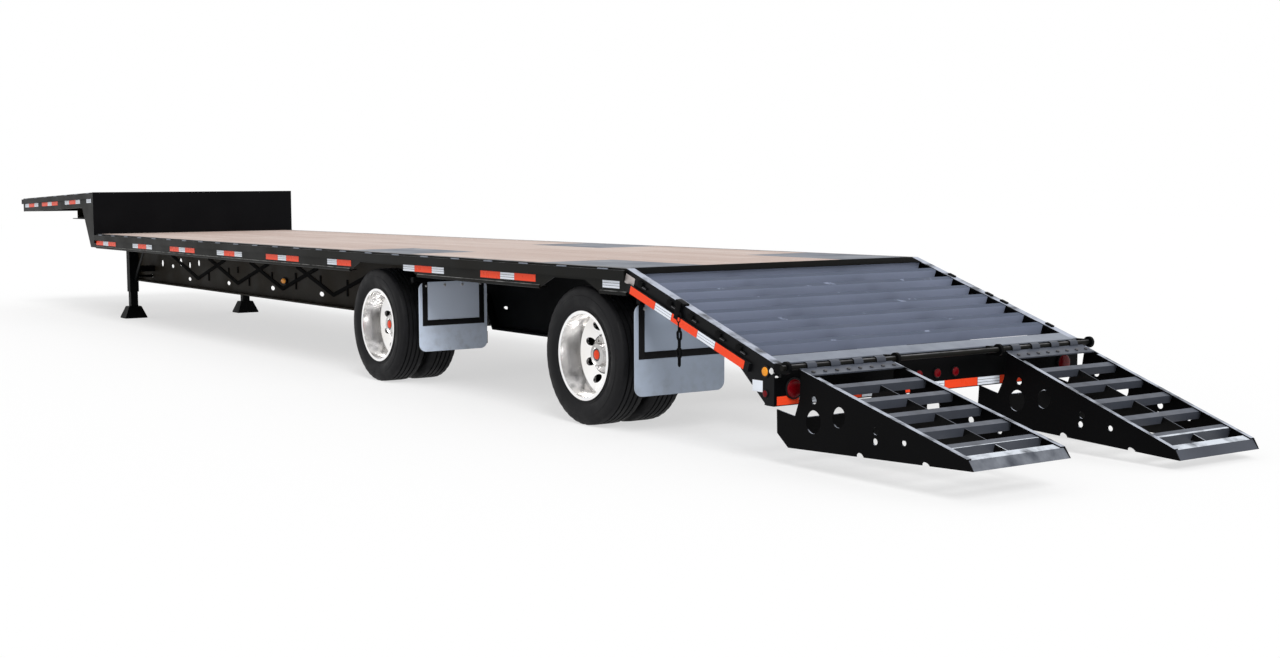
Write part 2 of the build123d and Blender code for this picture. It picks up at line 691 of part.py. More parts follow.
for side, sign in SIDES:
    with BuildPart() as leg:
        y = sign * LEG_HALF_SPACING
        slab((LEG_X - LEG_OUTER / 2, y - LEG_OUTER / 2, LEG_OUTER_BOTTOM),
             (LEG_X + LEG_OUTER / 2, y + LEG_OUTER / 2, LEG_TOP))
        slab((LEG_X - LEG_INNER / 2, y - LEG_INNER / 2, FOOT_THICKNESS),
             (LEG_X + LEG_INNER / 2, y + LEG_INNER / 2, LEG_OUTER_BOTTOM))
        slab((LEG_X - FOOT_LENGTH / 2, y - FOOT_WIDTH / 2, 0),
             (LEG_X + FOOT_LENGTH / 2, y + FOOT_WIDTH / 2, FOOT_THICKNESS))
        with BuildSketch(Plane(origin=(LEG_X, y, FOOT_THICKNESS))) as flare_foot:
            Rectangle(FOOT_LENGTH, FOOT_WIDTH)
        with BuildSketch(Plane(origin=(LEG_X, y, FOOT_FLARE_HEIGHT))) as flare_neck:
            Rectangle(FOOT_NECK_LENGTH, FOOT_NECK_WIDTH)
        loft([flare_foot.sketch, flare_neck.sketch])
    save(leg, f"landing_leg_{side}")

LEG_INSIDE = LEG_HALF_SPACING - LEG_OUTER / 2
BRACE_FOOT = LEG_X - LEG_OUTER / 2
with BuildPart() as landing_bracing:
    drum(LEG_X, -LEG_INSIDE, SHAFT_HEIGHT, (0, 1, 0), SHAFT_DIAMETER / 2, 2 * LEG_INSIDE)
    for _, sign in SIDES:
        near, far = sorted((sign * (BEAM_Y + BEAM_WEB / 2), sign * LEG_INSIDE))
        slab((LEG_X - LEG_BRACKET_LENGTH / 2, near, LEG_BRACKET_BOTTOM),
             (LEG_X + LEG_BRACKET_LENGTH / 2, far, LEG_BRACKET_BOTTOM + BRACE_BAR))
        brace = [
            (BRACE_FOOT, BRACE_LOW),
            (BRACE_FOOT, BRACE_LOW + BRACE_BAR),
            (MAIN_STATIONS[-1] + CROSS_FLANGE / 2, BEAM_TOP),
            (MAIN_STATIONS[-1] - CROSS_FLANGE / 2, BEAM_TOP),
        ]
        plate(upright(sign * LEG_HALF_SPACING), brace, RAIL_WALL)
save(landing_bracing, "landing_bracing")

LEG_OUTSIDE = LEG_HALF_SPACING + LEG_OUTER / 2
CRANK_HEIGHT = LEG_BRACKET_BOTTOM
with BuildPart() as landing_crank:
    drum(LEG_X, -LEG_OUTSIDE, CRANK_HEIGHT, (0, -1, 0), CRANK_ROD / 2, CRANK_OUT)
    drum(LEG_X, -LEG_OUTSIDE - CRANK_OUT + CRANK_ROD / 2, CRANK_HEIGHT + CRANK_ROD / 2, (0, 0, -1),
         CRANK_ROD / 2, CRANK_DROP)
    drum(LEG_X, -LEG_OUTSIDE - CRANK_OUT + CRANK_ROD, CRANK_HEIGHT - CRANK_DROP + CRANK_ROD, (0, -1, 0),
         CRANK_ROD / 2, CRANK_GRIP)
save(landing_crank, "landing_crank")

# Axle beams with the spindles that carry the wheels

AXLE_SHOULDER_Y = DUAL_Y - DUAL_SPACING / 2 - TYRE_WIDTH / 2 - AXLE_SHOULDER
SPINDLE_TIP = DUAL_Y + SPINDLE_END
for place, x in X_AXLES:
    with BuildPart() as axle_beam:
        drum(x, -AXLE_SHOULDER_Y, TYRE_RADIUS, (0, 1, 0), AXLE_DIAMETER / 2, 2 * AXLE_SHOULDER_Y)
        drum(x, -SPINDLE_TIP, TYRE_RADIUS, (0, 1, 0), SPINDLE_DIAMETER / 2, 2 * SPINDLE_TIP)
    save(axle_beam, f"axle_{place}")

# Suspension: hangers under the beams, trailing arms under the axles, air springs

ARM_BOTTOM = ARM_TOP - ARM_DEPTH
with BuildPart() as suspension_hangers:
    for _, x in X_AXLES:
        for _, sign in SIDES:
            y = sign * BEAM_Y
            slab((x + ARM_FORWARD, y - HANGER_WIDTH / 2, ARM_BOTTOM),
                 (x + ARM_FORWARD + HANGER_LENGTH, y + HANGER_WIDTH / 2, BEAM_TAIL_BOTTOM))
save(suspension_hangers, "suspension_hangers")

with BuildPart() as trailing_arms:
    for _, x in X_AXLES:
        for _, sign in SIDES:
            y = sign * BEAM_Y
            slab((x - ARM_REARWARD, y - ARM_WIDTH / 2, ARM_BOTTOM),
                 (x + ARM_FORWARD, y + ARM_WIDTH / 2, ARM_TOP))
            slab((x - SEAT_LENGTH / 2, y - ARM_WIDTH / 2, ARM_TOP),
                 (x + SEAT_LENGTH / 2, y + ARM_WIDTH / 2, TYRE_RADIUS))
            drum(x, y - ARM_WIDTH, TYRE_RADIUS, (0, 1, 0), AXLE_DIAMETER / 2 + SEAT_CLEARANCE, 2 * ARM_WIDTH,
                 mode=Mode.SUBTRACT)
save(trailing_arms, "trailing_arms")

with BuildPart() as air_springs:
    for _, x in X_AXLES:
        for _, sign in SIDES:
            drum(x - SPRING_SETBACK, sign * BEAM_Y, ARM_TOP, (0, 0, 1), SPRING_DIAMETER / 2,
                 BEAM_TAIL_BOTTOM - ARM_TOP)
save(air_springs, "air_springs")

with BuildPart() as brake_chambers:
    for _, x in X_AXLES:
        for _, sign in SIDES:
            y = sign * CHAMBER_Y
            slab((x - CHAMBER_BRACKET / 2, y - CHAMBER_BRACKET, TYRE_RADIUS),
                 (x + CHAMBER_BRACKET / 2, y + CHAMBER_BRACKET, CHAMBER_HEIGHT + CHAMBER_BRACKET))
            drum(x, y - CHAMBER_LENGTH, TYRE_RADIUS, (0, 1, 0), AXLE_DIAMETER / 2 + SEAT_CLEARANCE,
                 2 * CHAMBER_LENGTH, mode=Mode.SUBTRACT)
            drum(x + CHAMBER_BRACKET / 2, y, CHAMBER_HEIGHT, (1, 0, 0), CHAMBER_DIAMETER / 2, CHAMBER_LENGTH)
save(brake_chambers, "brake_chambers")

# Air tank slung between two crossmembers

TANK_STATIONS = [x for x in MAIN_STATIONS if x > X_KINK + REAR_AXLE_SETBACK + COVER_LENGTH / 2][:2]
with BuildPart() as air_tank:
    for x in TANK_STATIONS:
        slab((x - TANK_WALL / 2, -TANK_HANGER_WIDTH / 2, TANK_HEIGHT),
             (x + TANK_WALL / 2, TANK_HANGER_WIDTH / 2, DECK_UNDER - CROSS_DEPTH))
    drum(TANK_STATIONS[0] - TANK_DIAMETER / 2, 0, TANK_HEIGHT, (1, 0, 0), TANK_DIAMETER / 2,
         TANK_STATIONS[1] - TANK_STATIONS[0] + TANK_DIAMETER)
save(air_tank, "air_tank")

# Wheels: a pair of tyres, a pair of rims back to back, and a hub with its drum

# Half of a tyre's section: radius at the corners of its facets, distance from the tyre's middle
TYRE_HALF = [
    ((RIM_RADIUS + SEAT_CLEARANCE) / cos(pi / TYRE_FACETS), BEAD_WIDTH / 2),
    ((RIM_RADIUS + TYRE_RADIUS) / 2, TYRE_WIDTH / 2),
    (TYRE_RADIUS - SHOULDER_DROP, TREAD_WIDTH / 2 + SHOULDER_DROP),
    (TYRE_RADIUS, TREAD_WIDTH / 2),
]


def faceted_ring(x, y, half):
    """Ring of flat facets about an axle, from one half of its section on either side of y."""
    section = half + [(radius, -reach) for radius, reach in reversed(half)]
    rings = []
    for step in range(TYRE_FACETS):
        turn = 2 * pi * step / TYRE_FACETS
        spoke = Vector(sin(turn), 0, cos(turn))
        rings.append([Vector(x, y + reach, TYRE_RADIUS) + spoke * radius for radius, reach in section])
    facets = []
    for step, here in enumerate(rings):
        beside = rings[step - 1]
        for index in range(len(section)):
            corners = [here[index], here[index - 1], beside[index - 1], beside[index]]
            facets.append(Face(Wire.make_polygon(corners)))
    add(Solid(Shell(facets)))


def turned(x, y, sign, profile):
    """Solid of revolution about an axle, from points of radius and distance outboard of y."""
    section = Plane(origin=(x, y, TYRE_RADIUS), x_dir=(0, 0, 1), z_dir=(-sign, 0, 0))
    with BuildSketch(section) as half:
        with BuildLine():
            Polyline(*profile, close=True)
        make_face()
    revolve(half.sketch, axis=Axis((x, y, TYRE_RADIUS), (0, 1, 0)))


RIM_EDGE = DUAL_SPACING / 2 + BEAD_WIDTH / 2 + RIM_FLANGE_GAP
RIM_BARREL = RIM_RADIUS - RIM_WALL
# One wheel's half section from the mating face outward: radius, distance outboard
RIM_PROFILE = [
    (HUB_DIAMETER / 2 + SEAT_CLEARANCE, 0),
    (DISC_FLAT_RADIUS, 0),
    (RIM_RADIUS, DISC_RISE),
    (RIM_RADIUS, RIM_EDGE),
    (RIM_FLANGE_RADIUS, RIM_EDGE),
    (RIM_FLANGE_RADIUS, RIM_EDGE + RIM_FLANGE_WIDTH),
    (RIM_BARREL, RIM_EDGE + RIM_FLANGE_WIDTH),
    (RIM_BARREL, DISC_RISE + DISC_THICKNESS),
    (DISC_FLAT_RADIUS, DISC_THICKNESS),
    (HUB_DIAMETER / 2 + SEAT_CLEARANCE, DISC_THICKNESS),
]
# Hub and drum: radius, distance outboard of the mating face
HUB_BORE = SPINDLE_DIAMETER / 2 + SPINDLE_CLEARANCE
HUB_PROFILE = [
    (HUB_BORE, -DRUM_WIDTH),
    (DRUM_DIAMETER / 2, -DRUM_WIDTH),
    (DRUM_DIAMETER / 2, -DRUM_FACE),
    (HUB_DIAMETER / 2, -DRUM_FACE),
    (HUB_DIAMETER / 2, HUB_FACE),
    (HUB_CAP_DIAMETER / 2, HUB_FACE),
    (HUB_CAP_DIAMETER / 2, HUB_CAP_FACE),
    (0, HUB_CAP_FACE),
    (0, HUB_FACE),
    (HUB_BORE, HUB_FACE),
]
for place, x in X_AXLES:
    for side, sign in SIDES:
        corner = f"{place}_{side}"
        centre = sign * DUAL_Y
        with BuildPart() as tyres:
            for step in (-1, 1):
                faceted_ring(x, centre + step * DUAL_SPACING / 2, TYRE_HALF)
        save(tyres, f"tyres_{corner}")
        with BuildPart() as rims:
            turned(x, centre, sign, RIM_PROFILE)
            turned(x, centre, -sign, RIM_PROFILE)
            holes = Plane(origin=(x, centre, TYRE_RADIUS), z_dir=(0, 1, 0))
            with BuildSketch(holes) as hand_holes:
                with PolarLocations(HAND_HOLE_CIRCLE / 2, HAND_HOLE_COUNT):
                    Circle(HAND_HOLE_DIAMETER / 2)
            extrude(hand_holes.sketch, amount=RIM_EDGE, both=True, mode=Mode.SUBTRACT)
        save(rims, f"rims_{corner}")
        with BuildPart() as hub:
            turned(x, centre, sign, HUB_PROFILE)
        save(hub, f"hub_{corner}")

# Mud flaps hung behind the tyres from bars off the beams

with BuildPart() as mud_flaps:
    for place, x in X_AXLES:
        inner, outer, foot = FLAPS[place]
        for _, sign in SIDES:
            flap_x = x - TYRE_RADIUS - FLAP_SETBACK
            flap_plane = Plane(origin=(flap_x, 0, 0), x_dir=(0, 1, 0), z_dir=(1, 0, 0))
            middle = sign * (outer + inner) / 2
            with BuildSketch(flap_plane) as flap:
                with Locations((middle, (FLAP_TOP + foot) / 2)):
                    Rectangle(outer - inner, FLAP_TOP - foot)
                fillet(flap.vertices().group_by(Axis.Z)[0], FLAP_CORNER)
            extrude(flap.sketch, amount=FLAP_THICKNESS / 2, both=True)
save(mud_flaps, "mud_flaps")

with BuildPart() as flap_bars:
    for _, x in X_AXLES:
        for _, sign in SIDES:
            flap_x = x - TYRE_RADIUS - FLAP_SETBACK
            near, far = sorted((sign * (BEAM_Y + BEAM_WEB / 2), sign * FLAP_BAR_END))
            slab((flap_x - FLAP_BAR / 2, near, FLAP_TOP), (flap_x + FLAP_BAR / 2, far, FLAP_TOP + FLAP_BAR))
save(flap_bars, "flap_bars")

# Dovetail: sloping side rails, angle bars across them, and a lip along the rear edge

SLOPE_LENGTH = (DOVETAIL_RUN - REAR_FACE_SETBACK) / SLOPE_COS
for side, sign in SIDES:
    outline = [
        (X_KINK, DECK_HEIGHT),
        (X_REAR_FACE, slope_height(DOVETAIL_RUN - REAR_FACE_SETBACK, 0)),
        (X_REAR_FACE, REAR_FRAME_BOTTOM),
        (X_KINK - GUSSET_FOOT, REAR_FRAME_BOTTOM),
        (X_KINK - GUSSET_FRONT, slope_height(GUSSET_FRONT, SIDE_DEPTH)),
        (X_KINK, slope_height(0, SIDE_DEPTH)),
    ]
    with BuildPart() as dovetail_side:
        plate(upright(sign * (RAIL_FACE - RAIL_WALL / 2)), outline, RAIL_WALL)
        flange = [(0, 0), (SLOPE_LENGTH, 0), (SLOPE_LENGTH, -RAIL_WALL), (RAIL_WALL * SLOPE_TAN, -RAIL_WALL)]
        flange_y = sign * (RAIL_FACE - RAIL_FLANGE / 2)
        plate(sloping(X_KINK, flange_y, DECK_HEIGHT, DOVETAIL_SLOPE), flange, RAIL_FLANGE)
        ledge = [
            (BAR_SEAT * SLOPE_TAN, -BAR_SEAT),
            (SLOPE_LENGTH, -BAR_SEAT),
            (SLOPE_LENGTH, -BAR_SEAT - RAIL_WALL),
            ((BAR_SEAT + RAIL_WALL) * SLOPE_TAN, -BAR_SEAT - RAIL_WALL),
        ]
        plate(sloping(X_KINK, flange_y, DECK_HEIGHT, DOVETAIL_SLOPE), ledge, RAIL_FLANGE)
        tape_bar = [
            (TAPE_BAR_START, -TAPE_BAR_DROP),
            (TAPE_BAR_END, -TAPE_BAR_DROP),
            (TAPE_BAR_END, -TAPE_BAR_DROP - TAPE_BAR_DEPTH),
            (TAPE_BAR_START, -TAPE_BAR_DROP - TAPE_BAR_DEPTH),
        ]
        tape_y = sign * (RAIL_FACE + TAPE_BAR_THICKNESS / 2)
        plate(sloping(X_KINK, tape_y, DECK_HEIGHT, DOVETAIL_SLOPE), tape_bar, TAPE_BAR_THICKNESS)
    save(dovetail_side, f"dovetail_side_{side}")

with BuildPart() as dovetail_bars:
    for index in range(BAR_COUNT):
        run = BAR_START + index * BAR_PITCH
        angle = [
            (run, -BAR_TOP_DROP),
            (run, -BAR_SEAT),
            (run - BAR_WALL, -BAR_SEAT),
            (run - BAR_WALL, -BAR_TOP_DROP - BAR_WALL),
            (run - BAR_LEG, -BAR_TOP_DROP - BAR_WALL),
            (run - BAR_LEG, -BAR_TOP_DROP),
        ]
        plate(sloping(X_KINK, 0, DECK_HEIGHT, DOVETAIL_SLOPE), angle, 2 * (RAIL_FACE - RAIL_FLANGE))
save(dovetail_bars, "dovetail_bars")

LIP_START = SLOPE_LENGTH - LIP_LENGTH
lip_outline = [
    (LIP_START, 0),
    (SLOPE_LENGTH, 0),
    (SLOPE_LENGTH, -LIP_THICKNESS),
    (LIP_START + LIP_THICKNESS, -LIP_THICKNESS),
    (LIP_START + LIP_THICKNESS, -BAR_SEAT),
    (LIP_START, -BAR_SEAT),
]
with BuildPart() as dovetail_lip:
    plate(sloping(X_KINK, 0, DECK_HEIGHT, DOVETAIL_SLOPE), lip_outline, 2 * (RAIL_FACE - RAIL_FLANGE))
save(dovetail_lip, "dovetail_lip")

# Rear frame: a deep plate across the tail with a stiffening flange along its foot

REAR_TOP = slope_height(DOVETAIL_RUN - REAR_FACE_SETBACK, LIP_THICKNESS)
REAR_INSIDE = RAIL_FACE - RAIL_FLANGE
REAR_STEP = slope_height(DOVETAIL_RUN - REAR_FACE_SETBACK, BAR_SEAT + RAIL_WALL)
with BuildPart() as rear_frame:
    slab((X_REAR_FACE, -RAIL_INSIDE, REAR_FRAME_BOTTOM),
         (X_REAR_FACE + REAR_PLATE, RAIL_INSIDE, REAR_STEP))
    slab((X_REAR_FACE, -REAR_INSIDE, REAR_FRAME_BOTTOM), (X_REAR_FACE + REAR_PLATE, REAR_INSIDE, REAR_TOP))
    slab((X_REAR_FACE, -RAIL_INSIDE, REAR_FRAME_BOTTOM),
         (X_REAR_FACE + REAR_FRAME_DEPTH, RAIL_INSIDE, REAR_FRAME_BOTTOM + REAR_PLATE))
save(rear_frame, "rear_frame")

# Hinge rod in lugs that stand out behind the rear frame

OUTER_LUG = RAIL_FACE - LUG_THICKNESS / 2
INNER_LUG = RAMP_INNER - 2 * LUG_THICKNESS
with BuildPart() as hinge_lugs:
    for y in (-OUTER_LUG, -INNER_LUG, INNER_LUG, OUTER_LUG):
        slab((X_HINGE, y - LUG_THICKNESS / 2, Z_HINGE - LUG_RADIUS),
             (X_REAR_FACE, y + LUG_THICKNESS / 2, Z_HINGE + LUG_RADIUS / 2))
        drum(X_HINGE, y - LUG_THICKNESS / 2, Z_HINGE, (0, 1, 0), LUG_RADIUS, LUG_THICKNESS)
        drum(X_HINGE, y - LUG_THICKNESS, Z_HINGE, (0, 1, 0), ROD_DIAMETER / 2, 2 * LUG_THICKNESS,
             mode=Mode.SUBTRACT)
save(hinge_lugs, "hinge_lugs")

with BuildPart() as hinge_rod:
    drum(X_HINGE, -HALF_WIDTH, Z_HINGE, (0, 1, 0), ROD_DIAMETER / 2, TRAILER_WIDTH)
save(hinge_rod, "hinge_rod")

# Ramps: wedge sides with a heel that tucks under the rear frame, bars, toe plate, hinge leaf
# Side outline in the ramp's own plane: run from the hinge, height above the hinge

RAMP_SIDE = [
    (RAMP_HEAD, -RAMP_TOP_DROP),
    (RAMP_LENGTH, -RAMP_TOP_DROP),
    (RAMP_LENGTH + TOE_REACH, -RAMP_TOP_DROP - TOE_DEPTH),
    (HEEL_REACH, -HEEL_DEPTH),
    (-HOOK_REACH, -HOOK_DEPTH),
    (-HOOK_TIP_REACH, -HOOK_TIP_DEPTH),
    (HOOK_ROOT_REACH, -HOOK_ROOT_DEPTH),
    (HEAD_REACH, -HEAD_DEPTH),
]
FLANGE_START = RAMP_HEAD + LEAF_LENGTH
for side, sign, angle in RAMPS:
    middle = sign * (RAMP_INNER + RAMP_OUTER) / 2
    inside_width = RAMP_OUTER - RAMP_INNER - 2 * RAMP_PLATE
    with BuildPart() as ramp_sides:
        for y, inward in ((RAMP_INNER, 1), (RAMP_OUTER, -1)):
            plate_y = sign * (y + inward * RAMP_PLATE / 2)
            plate(sloping(X_HINGE, plate_y, Z_HINGE, angle), RAMP_SIDE, RAMP_PLATE)
            flange_y = sign * (y + inward * RAMP_FLANGE / 2)
            flange = [
                (FLANGE_START, -RAMP_TOP_DROP),
                (RAMP_LENGTH, -RAMP_TOP_DROP),
                (RAMP_LENGTH, -RAMP_TOP_DROP - RAMP_PLATE),
                (FLANGE_START, -RAMP_TOP_DROP - RAMP_PLATE),
            ]
            plate(sloping(X_HINGE, flange_y, Z_HINGE, angle), flange, RAMP_FLANGE)
        heel = [
            (HEEL_REACH, -HEEL_PLATE_TOP),
            (HEEL_REACH + RAMP_PLATE, -HEEL_PLATE_TOP),
            (HEEL_REACH + RAMP_PLATE, -HEEL_PLATE_FOOT),
            (HEEL_REACH, -HEEL_PLATE_FOOT),
        ]
        plate(sloping(X_HINGE, middle, Z_HINGE, angle), heel, inside_width)
        with BuildSketch(sloping(X_HINGE, middle, Z_HINGE, angle)) as cuts:
            for run, depth, length, height in RAMP_CUTS:
                with Locations((run, -depth)):
                    Ellipse(length / 2, height / 2)
        extrude(cuts.sketch, amount=RAMP_OUTER, both=True, mode=Mode.SUBTRACT)
    save(ramp_sides, f"ramp_sides_{side}")
    bar_top = -RAMP_TOP_DROP - RAMP_PLATE
    with BuildPart() as ramp_treads:
        ramp_plane = sloping(X_HINGE, middle, Z_HINGE, angle)
        for index in range(RAMP_BAR_COUNT):
            run = RAMP_BAR_START + index * RAMP_BAR_PITCH
            height = RAMP_LAST_BAR_HEIGHT if index == RAMP_BAR_COUNT - 1 else RAMP_BAR_HEIGHT
            bar = [
                (run, bar_top),
                (run, bar_top - height),
                (run - BAR_WALL, bar_top - height),
                (run - BAR_WALL, bar_top - BAR_WALL),
                (run - RAMP_BAR_LEG, bar_top - BAR_WALL),
                (run - RAMP_BAR_LEG, bar_top),
            ]
            plate(ramp_plane, bar, inside_width)
        toe = [
            (RAMP_LENGTH, bar_top),
            (RAMP_LENGTH + TOE_REACH, -RAMP_TOP_DROP - TOE_DEPTH),
            (RAMP_LENGTH + TOE_REACH - 2 * RAMP_PLATE, -RAMP_TOP_DROP - TOE_DEPTH),
            (RAMP_LENGTH - RAMP_BAR_LEG, bar_top),
        ]
        plate(ramp_plane, toe, inside_width)
        rib = [
            (RAMP_BAR_START - RAMP_BAR_LEG, bar_top - BAR_WALL),
            (RAMP_LENGTH - RAMP_BAR_LEG / 2, bar_top - BAR_WALL),
            (RAMP_LENGTH - RAMP_BAR_LEG / 2, bar_top - 2 * BAR_WALL),
            (RAMP_BAR_START - RAMP_BAR_LEG, bar_top - RIB_DEPTH),
        ]
        plate(ramp_plane, rib, RIB_THICKNESS)
    save(ramp_treads, f"ramp_treads_{side}")
    with BuildPart() as ramp_hinge:
        leaf = [
            (0, -RAMP_TOP_DROP),
            (LEAF_LENGTH, -RAMP_TOP_DROP),
            (LEAF_LENGTH, -RAMP_TOP_DROP - LEAF_THICKNESS),
            (0, -RAMP_TOP_DROP - LEAF_THICKNESS),
        ]
        plate(ramp_plane, leaf, inside_width)
        step = inside_width / KNUCKLE_COUNT
        for index in range(KNUCKLE_COUNT):
            y = middle - inside_width / 2 + (index + 0.5) * step
            drum(X_HINGE, y - KNUCKLE_LENGTH / 2, Z_HINGE, (0, 1, 0), KNUCKLE_RADIUS, KNUCKLE_LENGTH)
        drum(X_HINGE, middle - inside_width, Z_HINGE, (0, 1, 0), ROD_DIAMETER / 2 + ROD_CLEARANCE,
             2 * inside_width, mode=Mode.SUBTRACT)
    save(ramp_hinge, f"ramp_hinge_{side}")

# Lamps on the rear frame, on the dovetail's sides and on the main beams

with BuildPart() as tail_lamps:
    for _, sign in SIDES:
        drum(X_REAR_FACE, sign * TAIL_LAMP_Y, REAR_FRAME_BOTTOM + TAIL_LAMP_RISE, (-1, 0, 0),
             TAIL_LAMP_DIAMETER / 2, TAIL_LAMP_DEPTH)
save(tail_lamps, "tail_lamps")

with BuildPart() as small_lamps:
    for index in (-1, 0, 1):
        drum(X_REAR_FACE, index * SMALL_LAMP_PITCH, REAR_FRAME_BOTTOM + SMALL_LAMP_RISE, (-1, 0, 0),
             SMALL_LAMP_DIAMETER / 2, SMALL_LAMP_DEPTH)
save(small_lamps, "small_lamps")

SIDE_LAMP_RUN = DOVETAIL_RUN - REAR_FACE_SETBACK - SIDE_LAMP_DIAMETER
with BuildPart() as amber_lamps:
    for _, sign in SIDES:
        drum(X_KINK - SIDE_LAMP_RUN, sign * RAIL_FACE, slope_height(SIDE_LAMP_RUN, SIDE_DEPTH / 2),
             (0, sign, 0), SIDE_LAMP_DIAMETER / 2, SIDE_LAMP_DEPTH)
        drum(X_KINK + BEAM_LAMP_REACH, sign * (BEAM_Y + BEAM_WEB / 2), BEAM_BOTTOM + BEAM_LAMP_RISE,
             (0, sign, 0), BEAM_LAMP_DIAMETER / 2, SIDE_LAMP_DEPTH)
save(amber_lamps, "amber_lamps")
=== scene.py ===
"""Finishes, small fittings and studio for a two-level flatbed trailer with a dovetail and loading ramps.

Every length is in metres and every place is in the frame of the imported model:
+X points to the nose, +Y to the left side and +Z up from the ground.
"""

import logging
import math
from dataclasses import dataclass, field
from enum import Enum
from typing import ClassVar, Optional, Sequence

import bmesh
import bpy
from bpy.types import Material, Node, NodeSocket, NodeTree
from mathutils import Matrix, Vector


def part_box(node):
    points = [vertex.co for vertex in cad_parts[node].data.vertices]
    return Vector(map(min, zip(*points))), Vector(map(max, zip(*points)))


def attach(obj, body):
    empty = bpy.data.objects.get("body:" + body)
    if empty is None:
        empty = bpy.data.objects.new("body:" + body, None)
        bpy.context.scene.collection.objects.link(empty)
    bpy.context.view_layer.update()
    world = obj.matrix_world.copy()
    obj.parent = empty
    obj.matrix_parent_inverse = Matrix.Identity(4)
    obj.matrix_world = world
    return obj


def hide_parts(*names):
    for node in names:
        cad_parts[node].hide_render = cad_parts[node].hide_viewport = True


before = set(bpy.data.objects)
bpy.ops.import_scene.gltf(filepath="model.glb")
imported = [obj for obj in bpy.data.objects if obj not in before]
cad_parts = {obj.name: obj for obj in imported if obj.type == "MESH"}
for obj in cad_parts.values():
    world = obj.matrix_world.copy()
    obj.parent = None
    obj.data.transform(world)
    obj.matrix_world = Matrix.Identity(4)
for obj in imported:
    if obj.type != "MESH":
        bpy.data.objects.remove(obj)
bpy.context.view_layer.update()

LOG = logging.getLogger("trailer")
CHASSIS = "chassis"
SIDES = (("left", 1.0), ("right", -1.0))
PLACES = ("front", "rear")

Colour = tuple[float, float, float]
Point = tuple[float, float, float]
Section = tuple[tuple[float, float], ...]

# Places that the finishes follow: painted highlights on the slope's edges, ramp toes and rail lips; painted
# light on front flaps
SLOPE = math.radians(18.5)
SLOPE_NORMAL = (-math.sin(SLOPE), 0.0, math.cos(SLOPE))
EDGE_DEPTH = 0.03
TOE_LENGTH = 0.19
LIP_HEIGHT = 0.03
RAIL_LOW, RAIL_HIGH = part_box("side_rail_left")
SLOPE_EDGE = RAIL_LOW.x * SLOPE_NORMAL[0] + RAIL_HIGH.z * SLOPE_NORMAL[2] - EDGE_DEPTH
FLAP_SPLIT = sum(corner.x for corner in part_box("mud_flaps")) / 2


def shade(red: int, green: int, blue: int) -> Colour:
    """Turn a screen colour into the linear colour that a shader takes.

    Args:
        red: Red part, 0 to 255.
        green: Green part, 0 to 255.
        blue: Blue part, 0 to 255.

    Returns:
        The linear colour.
    """
    levels = (value / 255.0 for value in (red, green, blue))
    return tuple(v / 12.92 if v <= 0.04045 else ((v + 0.055) / 1.055) ** 2.4 for v in levels)


class Graph:
    """Node tree under construction."""

    def __init__(self, tree: NodeTree) -> None:
        """Take up a tree.

        Args:
            tree: The tree that the nodes go into.
        """
        self.tree = tree

    def feed(self, target: NodeSocket, value: object) -> None:
        """Link an input or set its value.

        Args:
            target: The input.
            value: A socket to link, or a constant.
        """
        if isinstance(value, NodeSocket):
            self.tree.links.new(value, target)
        elif target.type == "RGBA":
            target.default_value = (*value, 1.0)
        else:
            target.default_value = value

    def node(self, kind: str, inputs: Optional[dict[str | int, object]] = None, **settings: object) -> Node:
        """Add a node.

        Args:
            kind: The node's type, without its leading ShaderNode.
            inputs: Values or sockets by the name or the number of an input.
            **settings: Settings of the node.

        Returns:
            The new node.
        """
        node = self.tree.nodes.new(f"ShaderNode{kind}")
        for name, value in settings.items():
            setattr(node, name, value)
        for key, value in (inputs or {}).items():
            self.feed(node.inputs[key], value)
        return node

    def math(self, operation: str, first: object, second: object = 0.0) -> NodeSocket:
        """Combine two values.

        Args:
            operation: Name of the math operation.
            first: A value or a value socket.
            second: A value or a value socket.

        Returns:
            The result socket.
        """
        return self.node("Math", {0: first, 1: second}, operation=operation).outputs["Value"]

    def span(self, value: NodeSocket, low: float = 0.0, high: float = 1.0, start: object = 0.0,
             end: object = 1.0) -> NodeSocket:
        """Spread one range of a value over another.

        Args:
            value: The value socket.
            low: Result at the start.
            high: Result at the end.
            start: Where the value's range starts.
            end: Where the value's range ends.

        Returns:
            The result socket.
        """
        ends = {"From Min": start, "From Max": end, "To Min": low, "To Max": high}
        return self.node("MapRange", {"Value": value, **ends}).outputs["Result"]

    def noise(self, place: NodeSocket, scale: object, detail: float, roughness: float = 0.5) -> NodeSocket:
        """Add a noise.

        Args:
            place: The place on the surface.
            scale: Its scale.
            detail: How many finer layers it has.
            roughness: How strong these layers are.

        Returns:
            The value socket.
        """
        inputs = {"Vector": place, "Scale": scale, "Detail": detail, "Roughness": roughness}
        return self.node("TexNoise", inputs).outputs["Fac"]


class Effect(Enum):
    """Surface effects that several finishes share, each one shader node group."""

    MOTTLE = "mottle"
    # Settled dust on upward faces, also used for painted sheen and painted shade there
    DUST = "settled_dust"
    STREAKS = "streaks"
    GRIT = "grit"


